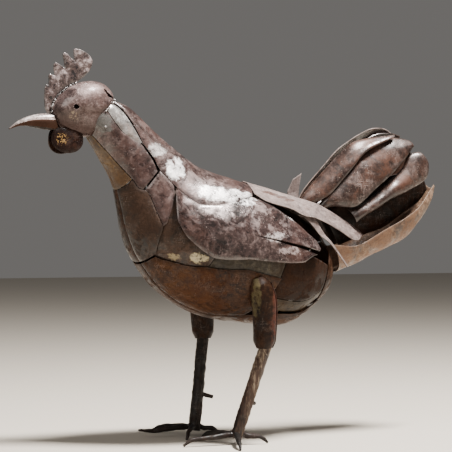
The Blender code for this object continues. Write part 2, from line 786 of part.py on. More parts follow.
def wing_place(t, s):
    """Length share, angle and lift of a place on a wing sheet."""
    row = float(np.interp(s * 6, range(7), WING_ROWS))
    lower = s > 3.5 / 6
    tip = np.interp(row, [p[0] for p in WING_TIPS], [p[1] for p in WING_TIPS])
    u = WING_FRONT + (tip - WING_FRONT) * t
    top = along(WING_TOP, u)
    low = along(WING_LOW, u)
    share = np.interp(u, (0.60, WING_SLIT_START), (0.0, 1.0))
    slit = (top + (low - top) * WING_SLIT_LEVEL) * (1 - share) + along(WING_SLIT, u) * share
    slit = min(max(slit, top + 0.2 * (low - top)), low - 0.12 * (low - top))
    gape = np.interp(u, (WING_SLIT_START, WING_REAR), WING_SLIT_GAPE) / 2
    if lower:
        angle = slit + gape + (low - slit - gape) * (row - 1.0)
    else:
        angle = top + WING_TRIM + (slit - gape - top - WING_TRIM) * row
    rise = WING_LIFT * min((angle - top) / max(low - top, 1e-6) * 1.6, 1.0)
    rise += max(0.0, (u - 0.66) / 0.23) * (WING_LOWER_TIP_LIFT if lower else WING_TIP_LIFT)
    if not lower:
        rise += WING_LIP_LIFT * row * max(0.0, u - WING_SLIT_START) / (WING_REAR - WING_SLIT_START)
    return u, angle, rise


def build_wings(make):
    """Each wing is one sheet, lifted off the flank, with a slit between its two rear tips."""
    for word, side in (("left", LEFT), ("right", RIGHT)):
        def point(t, s):
            u, angle, rise = wing_place(t, s)
            return skin(u, angle, side, rise)

        def outward(t, s):
            u, angle, _ = wing_place(t, s)
            return skin(u, angle, side, 0.01) - skin(u, angle, side)

        def slit_cell(t, s):
            return 3 / 6 < s < 4 / 6 and WING_FRONT + (WING_REAR - WING_FRONT) * t > WING_SLIT_START

        make.sheet("wing_" + word, point, outward, 12, 6, SHEET, "rust_brown", drop=slit_cell)


def build_saddle(make):
    """The long strips that run back over the tail root, and the small upright tab."""
    up_left = (0.2, -0.45, 0.85)
    make.ribbon("saddle_strip_left", SADDLE_TOP, SADDLE_LOW, 11, 3, 2, up_left, SHEET, "strip_tan")
    make.ribbon(
        "saddle_strip_right", SADDLE_TOP, SADDLE_LOW, 11, 3, 2, up_left, SHEET, "strip_tan", side=RIGHT,
        shift=(0, 0, 3),
    )
    make.ribbon("side_strip", HACKLE_TOP, HACKLE_LOW, 8, 1, 0, (0.2, -0.9, 0.3), SHEET, "strip_tan")
    make.slab("back_tab", TAB_OUTLINE, TAB_OFFSET * UNIT, SHEET, "strip_tan")


def build_tail(make):
    """Two fans of four bent sheets each over one trough-shaped sheet."""
    facing = (0, -1, 0)
    for name, (edge_a, edge_b) in TAIL_BLADES.items():
        columns = 9 if name != "tail_inner" else 7
        swell = TAIL_BULGE[name]
        make.ribbon(name + "_left", edge_a, edge_b, columns, 3, swell, facing, FEATHER_SHEET, "tail_rust")
        shift = FAR_FAN_SHIFT if name != "tail_inner" else (0, 0, 0)
        if name == "tail_top":
            edge_a = FAR_TOP_EDGE
        make.ribbon(
            name + "_right", edge_a, edge_b, columns, 3, swell, facing, FEATHER_SHEET, "tail_rust",
            side=RIGHT, shift=shift,
        )

    def trough_point(t, s):
        keel_x, keel_z, rim_x, rim_z, width = spline(TROUGH, t)
        bend = (2 * s - 1) * math.pi / 2
        climb = 1 - math.cos(bend)
        x = keel_x + (rim_x - keel_x) * climb
        z = keel_z + (rim_z - keel_z) * climb
        return np.array((x, width * math.sin(bend), z)) * UNIT

    make.sheet(
        "tail_trough", trough_point, lambda t, s: (0.3, (2 * s - 1), -0.8), 9, 8, FEATHER_SHEET, "tail_rust",
    )


def body_tool(make):
    """A closed body just outside the plates, used to fit the thighs against them."""
    bm = bmesh.new()
    bmesh.ops.create_uvsphere(bm, u_segments=36, v_segments=34, radius=1.0)
    for vert in bm.verts:
        polar = math.acos(max(-1.0, min(1.0, vert.co.z))) / math.pi
        turn = math.atan2(vert.co.y, vert.co.x)
        side = RIGHT if vert.co.y >= 0 else LEFT
        u = 0.25 + 0.74 * polar
        if min(polar, 1 - polar) < 1e-4:
            rim_a = skin(u, 0, side)
            rim_b = skin(u, 180, side)
            vert.co = Vector((rim_a + rim_b) / 2)
        else:
            vert.co = Vector(skin(u, math.degrees(abs(turn)), side, BODY_TOOL_GAP))
    bmesh.ops.recalc_face_normals(bm, faces=bm.faces[:])
    mesh = bpy.data.meshes.new("body_tool")
    bm.to_mesh(mesh)
    bm.free()
    return make.cutter("body_tool", mesh)


def build_legs(make):
    """Hollow thighs, bent shins with level lower ends, spurs and four toes a foot."""
    body = body_tool(make)
    ground = bmesh.new()
    bmesh.ops.create_cube(ground, size=1.0)
    mesh = bpy.data.meshes.new("ground_tool")
    ground.to_mesh(mesh)
    ground.free()
    floor = make.cutter("ground_tool", mesh)
    floor.location = (0, 0, -0.5)

    for word, (top, middle, mouth, foot) in LEGS.items():
        line = [np.array(p, float) for p in (top, middle, mouth)]
        knots = []
        for level in THIGH_LEVELS:
            knots.append(spline(line, level) * UNIT)
        sizes = [radius * UNIT for radius in THIGH_RADII]
        thigh = make.tube("thigh_" + word, knots, sizes, "rust_brown", 2, False)
        wall = thigh.modifiers.new("wall", "SOLIDIFY")
        wall.thickness = THIGH_WALL
        wall.offset = -1.0
        make.cut(thigh, body)

        mouth_point = np.array(mouth, float) * UNIT
        foot_point = np.array(foot, float) * UNIT
        lean = (foot_point - mouth_point) / np.linalg.norm(foot_point - mouth_point)
        inside = mouth_point + (line[1] * UNIT - mouth_point) * SHIN_OVERLAP
        below = foot_point + lean * SHIN_RADIUS * 1.3
        bend = mouth_point - np.array((0, 0, 0.001))
        shin = make.tube("shin_" + word, (inside, bend, below), (SHIN_RADIUS,) * 3, "rod_steel", 2, True)
        make.cut(shin, floor)

        share = (mouth_point[2] - SPUR_HEIGHT) / (mouth_point[2] - foot_point[2])
        root = mouth_point + (foot_point - mouth_point) * share
        way = np.array(SPUR_WAY[word])
        near = root + way * (SHIN_RADIUS + SPUR_GAP)
        spur_radii = (SPUR_RADIUS, SPUR_RADIUS * 0.85)
        make.tube("spur_" + word, (near, near + way * SPUR_LENGTH), spur_radii, "rod_steel", 1, True)

        mirror = 1.0 if word == "left" else -1.0
        for toe, offsets in TOES[word].items():
            ends = []
            for dx, dy, dz in offsets:
                ends.append(np.array((dx, dy * mirror, dz)) * UNIT + foot_point)
            aim = ends[0] - foot_point
            flat = np.array((aim[0], aim[1], 0.0))
            flat /= np.linalg.norm(flat)
            base = foot_point - lean * TOE_ROOT_HEIGHT * UNIT
            base[2] = TOE_ROOT_HEIGHT * UNIT
            start = base + flat * (SHIN_RADIUS + TOE_GAP)
            steps = len(ends)
            radii = [TOE_RADIUS * (1 - 0.5 * (i / steps) ** 3) for i in range(steps + 1)]
            make.tube("toe_" + toe + "_" + word, [start] + ends, radii, "rod_steel", 1, True)


def set_origin(make):
    """Moves the root so that the origin is the middle of the footprint of the whole box."""
    bpy.context.view_layer.update()
    depsgraph = bpy.context.evaluated_depsgraph_get()
    low = np.full(3, 1e9)
    high = np.full(3, -1e9)
    for item in make.group.objects:
        if item.type == "EMPTY":
            continue
        shape = item.evaluated_get(depsgraph)
        mesh = shape.to_mesh()
        for vert in mesh.vertices:
            place = np.array(shape.matrix_world @ vert.co)
            low = np.minimum(low, place)
            high = np.maximum(high, place)
        shape.to_mesh_clear()
    make.root.location = (-(low[0] + high[0]) / 2, -(low[1] + high[1]) / 2, -low[2])
    bpy.context.view_layer.update()


def main():
    """Builds the whole bird."""
    clear_scene()
    make = Builder()
    build_head(make)
    build_comb(make)
    build_beak(make)
    build_wattles(make)
    build_body(make)
    build_wings(make)
    build_saddle(make)
    build_tail(make)
    build_legs(make)
    set_origin(make)


main()
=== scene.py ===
"""Looks of the rooster welded from scrap sheet steel.

Each sheet is built again on a fine grid from the same surface as the solids, with hammer dents,
tucked edges and uneven seams. Bars and weld beads are added, and every surface is rusted and
varnished steel made of procedural nodes.
"""

import math

import bmesh
import bpy
import numpy as np
from mathutils import Matrix, Vector, noise


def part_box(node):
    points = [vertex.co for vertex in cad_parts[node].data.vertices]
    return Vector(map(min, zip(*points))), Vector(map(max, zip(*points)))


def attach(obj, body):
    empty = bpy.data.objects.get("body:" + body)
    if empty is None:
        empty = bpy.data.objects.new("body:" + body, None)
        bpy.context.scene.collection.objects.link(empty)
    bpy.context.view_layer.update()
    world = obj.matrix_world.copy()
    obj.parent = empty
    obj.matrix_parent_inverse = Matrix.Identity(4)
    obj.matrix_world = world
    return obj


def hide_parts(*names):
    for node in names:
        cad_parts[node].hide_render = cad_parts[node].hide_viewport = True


# One unit is a millimetre on the 0.61 m bird, and its zero is the lower end of the shins.
UNIT = 0.610 / 610.0

# Sheets, the gaps between them and the grids that they are built on, in metres.
SHEET = 0.0016
FEATHER_SHEET = 0.0012
SEAM = 0.0018
UNDERLAP = -0.0040
GRID = 0.0026
WIDE_GRID = 0.003
TUCK = 0.0008
TUCK_WIDTH = 0.0055
VISUAL_SEAM = 0.0009
JOINT_GAP = 0.0004
EDGE_BEVEL = 0.00035
# Hammer dents: their sizes, and how far from an edge they reach their full depth.
DENT_SIZES = (0.034, 0.015)
DENT_BORDER = 0.012
# How far from an edge its wear and grime reach, how far a cut plate's edge rounds off, and the size
# of the lumps on a bar.
RIM_WIDTH = 0.010
PUFF_WIDTH = 0.006
BAR_LUMP = 0.007

# Bars, the comb, the eye and the wattles, in metres.
SHIN_RADIUS = 0.0090
SHIN_SCALE = 0.0012
SPUR_RADIUS = 0.0040
SPUR_LENGTH = 0.0170
SPUR_HEIGHT = 0.0590
TOE_RADIUS = 0.0048
THIGH_WALL = 0.0016
COMB_SHEET = 0.0028
COMB_PUFF = 0.0016
EYE_RADIUS = 0.0046
EYE_RIM = 0.0022
WATTLE_WIDTH = 0.0495
WATTLE_HEIGHT = 0.0400

LEFT = -1.0
RIGHT = 1.0
SIDES = (("left", LEFT), ("right", RIGHT))
SIDE_SEEDS = {"left": 20, "right": 40}

# Rings of the body from the head joint to the rump: top x, top z, bottom x, bottom z, half width.
RINGS = (
    (-193, 522, -245, 479.5, 25),
    (-163, 509, -214, 431, 29),
    (-126, 476, -194, 398, 36),
    (-92, 449, -184, 362, 48),
    (-60, 426, -175, 321, 62),
    (-30, 413, -157, 277, 78),
    (6, 403, -115, 226, 90),
    (52, 389, -50, 189, 96),
    (103, 369, 33, 174, 93),
    (146, 340, 96, 171, 78),
    (172, 306, 146, 198, 50),
)
SAG = 0.08

# Seam lines on the body: share of the length from head to rump, angle from the ridge.
NAPE_EDGE = (
    (0, 23), (0.08, 44), (0.13, 47), (0.21, 45), (0.30, 36), (0.34, 24), (0.37, 4), (0.40, 0),
)
BACK_EDGE = (
    (0, 39), (0.03, 39), (0.09, 51), (0.18, 68), (0.25, 72), (0.29, 77), (0.37, 75),
    (0.50, 72), (0.56, 61), (0.62, 46), (0.66, 35),
)
# The back plate and the neck plate as they gape from the seam on the left side.
GAPE_ANGLE = 5.0
GAPE_END = 0.10
BACK_GAPE = tuple((u, a - (GAPE_ANGLE if u < GAPE_END else 0.0)) for u, a in BACK_EDGE)
NECK_GAPE = ((0.18, 70.5), (0.20, 71.8), (0.25, 75), (0.28, 79), (0.29, 81))
CHEEK_EDGE = ((0, 70), (0.05, 79), (0.10, 83), (0.15, 79), (0.19, 73))
THROAT_EDGE = (
    (0, 168), (0.04, 148), (0.10, 137), (0.17, 132), (0.245, 123), (0.288, 120), (0.305, 113),
    (0.32, 109), (0.38, 111), (0.42, 113), (0.46, 115), (0.485, 128), (0.515, 143),
)
SHOULDER_EDGE = (
    (0.29, 77), (0.37, 75), (0.385, 78), (0.40, 84), (0.42, 91), (0.44, 100), (0.46, 111),
)
BELLY_EDGE = ((0.50, 147), (0.52, 143), (0.55, 132), (0.62, 114), (0.71, 100), (0.80, 101))
KEEL_EDGE = (
    (0.24, 172), (0.64, 171), (0.70, 166), (0.75, 154), (0.80, 143), (0.85, 138), (0.92, 136), (1.0, 137),
)
RUMP_EDGE = ((0.78, 123), (0.85, 122), (0.93, 120), (1.0, 117))
FLANK_EDGE = (
    (0.36, 146), (0.50, 147), (0.52, 145), (0.55, 136), (0.62, 119), (0.71, 105), (0.80, 105),
)
# Plates of both sides: the seams above and below, where they start and end along the body, and the
# look. Several starts or ends are spread across the width.
SIDE_PLATES = (
    ("throat_plate_", THROAT_EDGE, 180, 0.014, 0.243, "throat"),
    ("shoulder_plate_", SHOULDER_EDGE, THROAT_EDGE, (0.296, 0.301, 0.308), 0.458, "rust_brown"),
    # The breast plates take the painted-shade look.
    ("breast_plate_", THROAT_EDGE, KEEL_EDGE, 0.243, 0.512, "dark_steel"),
    ("belly_plate_", BELLY_EDGE, KEEL_EDGE, 0.515, (0.792, 0.785, 0.765), "belly_rust"),
)
# Plates tucked under the others, which differ from side to side, with their seeds at the end.
FLANK_START = (0.375, 0.43, 0.50)
LOW_PLATES = (
    # The front flanks take the painted-shade look, the rear left flank the grey look darkened as painted
    # shade.
    ("flank_plate_front_left", LEFT, 70, FLANK_EDGE, FLANK_START, 0.627, "dark_steel", 31),
    ("flank_plate_rear_left", LEFT, 70, FLANK_EDGE, 0.627, 0.792, "flank_grey_shaded", 32),
    ("rump_plate_left", LEFT, 70, RUMP_EDGE, 0.792, 1.0, "rump", 33),
    ("rump_band_left", LEFT, RUMP_EDGE, KEEL_EDGE, 0.800, 1.0, "band", 34),
    ("flank_plate_right", RIGHT, 70, FLANK_EDGE, FLANK_START, 0.792, "dark_steel", 51),
    ("rump_plate_right", RIGHT, 70, KEEL_EDGE, (0.792, 0.792, 0.800), 1.0, "rump", 52),
)
NAPE_END = 0.36
END_INSET = 0.004
# The wings: their seams, the slit between the two rear tips, and how far they stand off the body.
WING_TOP = (
    (0.37, 75), (0.50, 72), (0.56, 61), (0.62, 46), (0.66, 36), (0.72, 39), (0.79, 48), (0.84, 54),
    (0.90, 58),
)
WING_LOW = (
    (0.378, 75), (0.42, 87), (0.48, 100), (0.53, 104), (0.62, 104), (0.65, 100), (0.70, 92),
    (0.79, 87), (0.82, 84), (0.86, 78), (0.90, 74),
)
WING_SLIT = ((0.40, 76), (0.60, 76), (0.74, 72), (0.78, 72), (0.88, 69))
WING_SLIT_EASE = 0.60
WING_SLIT_START = 0.69
WING_SLIT_LEVEL = 0.55
WING_SLIT_GAPE = (0.25, 3.45)
WING_FRONT = 0.392
WING_REAR = 0.884
WING_TIPS = ((0.0, 0.872), (0.7, 0.881), (1.0, 0.874), (2.0, 0.835))
WING_LIFT = 0.0058
WING_LIFT_RISE = 1.6
WING_TIP_START = 0.66
WING_TIP_LENGTH = 0.23
WING_TIP_LIFT = 0.0045
WING_LOWER_TIP_LIFT = 0.0025
WING_LIP_LIFT = 0.0030
WING_LIPS = 0.02

# The head: an egg about its centre, tipped back by its pitch, with the eye and a torn slot.
HEAD_CENTRE = (-243.5, 513.5)
HEAD_MIDDLE = np.array((HEAD_CENTRE[0], 0, HEAD_CENTRE[1])) * UNIT
HEAD_SEMI_AXES = (51, 30, 32.5)
HEAD_PITCH = 0.39
EYE_CENTRE = (-261.8, 508.1)
HEAD_SLOT = ((-212, 535), (-206.3, 527.8), (-196, 522.5))
HEAD_SLOT_WIDTH = 0.0042
# How far the head's rim flares out to meet the neck, as shares: on the ridge, and more at the sides.
RIM_FLARE = (0.022, 0.085)
RIM_START = 0.70
# The jaw: the levels between which the head's underside sinks, how far, and how far back it goes.
JAW_LEVELS = (500, 480)
JAW_DROP = (7, 17)
JAW_REACH = 10
JAW_FRONT = -285
JAW_LENGTH = 45

COMB_OUTLINE = (
    (-299.5, 499), (-303, 509.5), (-303.5, 521.5), (-303, 536.5), (-300.5, 542.5), (-297, 541),
    (-296.5, 549), (-297, 555), (-295, 558.5), (-291.5, 558), (-286.5, 555.5), (-288.5, 566),
    (-288.5, 573), (-285.5, 576.5), (-281.5, 574.5), (-274, 571), (-270.5, 568), (-272, 578.5),
    (-274, 588.5), (-271.5, 592), (-267.5, 590.5), (-262.5, 586), (-256.5, 581), (-254.5, 578),
    (-256, 588.5), (-256, 597), (-253.5, 598.5), (-245.5, 597.5), (-236, 593), (-229, 588),
    (-225.5, 580.5), (-227, 572), (-231.5, 564), (-239, 556.5), (-246.5, 550.5),
)
COMB_FOOT_TURNS = (86, 98, 111, 125, 140, 155, 169)
COMB_FOOT_GAP = 1.2

# The left tail feathers: the upper and the lower edge of each.
TAIL_BLADES = {
    "tail_top": (
        (
            (120, -8, 361), (134, -9, 382), (171, -11, 421), (192, -13, 442), (218, -16, 464),
            (252, -20, 473), (291, -27, 478),
        ),
        (
            (129, -12, 355), (150, -20, 366), (172, -27, 379), (194, -32, 404), (211, -34, 423),
            (235, -35, 448), (285, -32, 470),
        ),
    ),
    "tail_side": (
        (
            (150, -13, 350), (163, -15, 371), (176, -19, 389), (201, -24, 414), (226, -24, 441),
            (266, -22, 468), (300, -22, 473), (321, -25, 469),
        ),
        (
            (157, -15, 348), (176, -19, 357), (194, -31, 358), (217, -38, 361), (249, -40, 388),
            (279, -40, 412), (307, -38, 440), (326, -32, 458),
        ),
    ),
    "tail_finger": (
        (
            (206, -22, 356), (234, -25, 369), (256, -27, 384), (281, -27, 403), (303, -27, 422),
            (313, -27, 441), (323, -27, 448), (335, -28, 451),
        ),
        (
            (217, -34, 333), (231, -37, 344), (254, -38, 356), (278, -38, 370), (316, -37, 387),
            (346, -36, 405), (353, -34, 428), (346, -31, 443),
        ),
    ),
    "tail_inner": (
        (
            (167, -8, 351), (208, -13, 372), (248, -17, 391), (282, -18, 404), (316, -18, 414),
            (345, -18, 418),
        ),
        (
            (196, -11, 296), (236, -16, 312), (274, -19, 325), (311, -19, 348), (343, -15, 367),
            (363, -11, 388),
        ),
    ),
}
TAIL_BULGE = {"tail_top": 5, "tail_side": 6, "tail_finger": 9, "tail_inner": 5}
# Painted shade on the inner tail sheets and painted light on the far top one.
TAIL_LOOKS = {
    "tail_inner_left": "tail_shaded",
    "tail_inner_right": "tail_shaded",
    "tail_top_right": "tail_far_painted_light",
}
FAR_FAN_SHIFT = (10, 0, 10)
FAR_TOP_EDGE = (
    (120, -8, 361), (134, -9, 382), (171, -11, 420), (192, -13, 441), (212, -15, 455),
    (238, -16, 470), (264, -20, 480), (292, -26, 480), (313, -29, 468),
)

# The trough under the tail: keel x, keel z, rim x, rim z, half width.
TROUGH = (
    (192, 253, 168, 298, 47),
    (230, 268, 212, 297, 46),
    (275, 288, 262, 321, 44),
    (317, 306, 304, 341, 40),
    (348, 337, 333, 359, 34),
    (370, 366, 356, 382, 25),
    (379, 391, 374, 397, 13),
)

# The free strips: the upper and the lower edge of each, and the outline of the tab.
SADDLE_TOP = (
    (33, -7, 397), (60, -12, 390), (86, -18, 382), (114, -24, 373.5), (146, -24, 365), (170, -24, 354),
    (202, -24, 337), (225, -24, 322), (235, -24, 313),
)
SADDLE_LOW = (
    (25, -53, 378.5), (46.5, -57, 366), (87, -56, 355.5), (112, -54, 344.5), (132, -52, 341),
    (156, -50, 332), (182, -48, 319), (203, -45, 307), (217, -42, 305),
)
HACKLE_TOP = (
    (119, -46, 345), (133, -47, 340), (142, -48, 328), (151.5, -49, 314), (163, -51, 301.5),
    (190, -53, 265.5),
)
HACKLE_LOW = (
    (104, -48, 346), (114, -50, 341.5), (127.5, -51, 329), (141, -52, 313.5), (160.5, -53, 298.5),
    (188.5, -54, 262.5),
)
TAB_OUTLINE = ((125, 371), (124, 384), (134, 404), (150, 414), (146, 392), (144, 370))
TAB_OFFSET = 31

# The legs: thigh top, thigh middle, thigh mouth and foot, then the toes as steps from the foot.
LEGS = {
    "left": ((12, -84, 248), (24, -88, 210), (26, -85, 139), (-14, -65, 0)),
    "right": ((2, 84, 250), (-3, 88, 212), (-2, 85, 146), (-26, 65, 0)),
}
THIGH_RADII = (13.5, 18, 19.3, 18.7, 16.5, 12.2)
THIGH_LEVELS = (0.0, 0.17, 0.42, 0.70, 0.93, 1.0)
TOES = {
    "left": {
        "middle": ((-26, 0, 4), (-51, 0, 2), (-73, 1, 0), (-87, 2, -8)),
        "outer": ((-12, -32, 5), (-23, -62, 0), (-30, -81, -8)),
        "inner": ((-16, 26, 7), (-27, 46, 4), (-35, 60, -8)),
        "rear": ((20, -7, 3), (38, -11, 1), (49, -13, -8)),
    },
    "right": {
        "middle": ((-34, -5, 5), (-64, -13, 1), (-88, -22, 2)),
        "outer": ((-13, -34, 5), (-32, -59, 2), (-46, -78, -8)),
        "inner": ((-15, 22, 6), (-26, 37, 3), (-34, 48, -8)),
        "rear": ((20, -6, 3), (38, -10, 1), (50, -13, -8)),
    },
}
TOE_ROOT_HEIGHT = 6
TOE_GAP = 0.0022
SPUR_GAP = 0.0012
SPUR_WAY = {"left": (0.72, 0.64, -0.27), "right": (0.96, 0.0, -0.26)}
SHIN_OVERLAP = 0.22
# Where the rolled sheet of a thigh laps, how far round it goes, in turns, and how far out it laps.
THIGH_SEAM = 0.5
THIGH_WRAP = 1.05
THIGH_LAP = 0.0026
# A crease down the thigh: where it is round the sheet, its width and its depth.
THIGH_CREASE = (0.80, 0.05, 0.0010)
RUMP_DOME = 0.024
CROUP_START = 0.645
CROUP_REACH = {LEFT: 30.0, RIGHT: 69.0}

# The beak: its ridge, depths, half widths and section, then the sheet below it.
BEAK_RIDGE = ((-293, 499), (-312, 497.3), (-328, 493.6), (-343, 487.5), (-352, 481), (-359, 475))
BEAK_DEPTHS = (25, 20.5, 15, 8.5, 4.5, 2)
BEAK_WIDTHS = (13, 11.5, 9.5, 7, 4.5, 2)
BEAK_SECTION = ((0, 0), (0.66, 0.15), (1.0, 0.5), (0.78, 1.0))
BEAK_LAP = 9
JAW_KEEL = ((-281, 473.2), (-302, 473.8), (-319, 476.6), (-335, 479.2))
JAW_RISES = (4, 6, 4, 2)
JAW_WIDTHS = (7.2, 6.6, 5.0, 2.4)
# The wattles: the left one's centre, how square their tops are, and how they are bent.
WATTLE_CENTRE = (-270.5, 16, 457.8)
WATTLE_SQUARE = 0.55
WATTLE_TAPER = 0.06
WATTLE_DISH = 0.003
WATTLE_TILT = 0.002
WATTLE_CURL = 0.008

# Runs of weld around the head joint, as angles from the ridge.
HEAD_TACKS = ((4, 20), (36, 46), (62, 78), (118, 134))
CHEEK_WELD = (-214, -26, 478.4)
# Tacks along the seams of the plates: where each starts and how long it is.
SEAM_TACKS = (
    (NAPE_EDGE, ((0.06, 0.008), (0.15, 0.006), (0.24, 0.008))),
    (BACK_EDGE, ((0.04, 0.006), (0.12, 0.008), (0.20, 0.006), (0.27, 0.010), (0.42, 0.006))),
    (THROAT_EDGE, (
        (0.06, 0.006), (0.14, 0.006), (0.20, 0.008), (0.33, 0.010), (0.40, 0.006), (0.45, 0.008),
    )),
    (SHOULDER_EDGE, ((0.31, 0.006), (0.41, 0.006))),
    (BELLY_EDGE, ((0.56, 0.006), (0.66, 0.006), (0.74, 0.008))),
)
# Sizes of the drops of weld metal, and the arc over the head that the comb's beads follow.
COMB_BEAD = 0.0016
COMB_BEAD_DARK = 0.0018
COMB_BEAD_ARC = (86, 173)
HEAD_BEAD = 0.0017
SEAM_BEAD = 0.0008
FOOT_BEAD = 0.0034
BEAD_CELL = 0.0006

SPECK_COLOUR = (0.50, 0.42, 0.35)
BUMP_DEPTH = 0.0011
# Places of the painted shade of a dark slit along the saddle strips.
STRIP_SLIT_SHADE = ((57, -20, 381), (68, -24, 377.6), (80, -29, 373.6), (93, -34, 369))
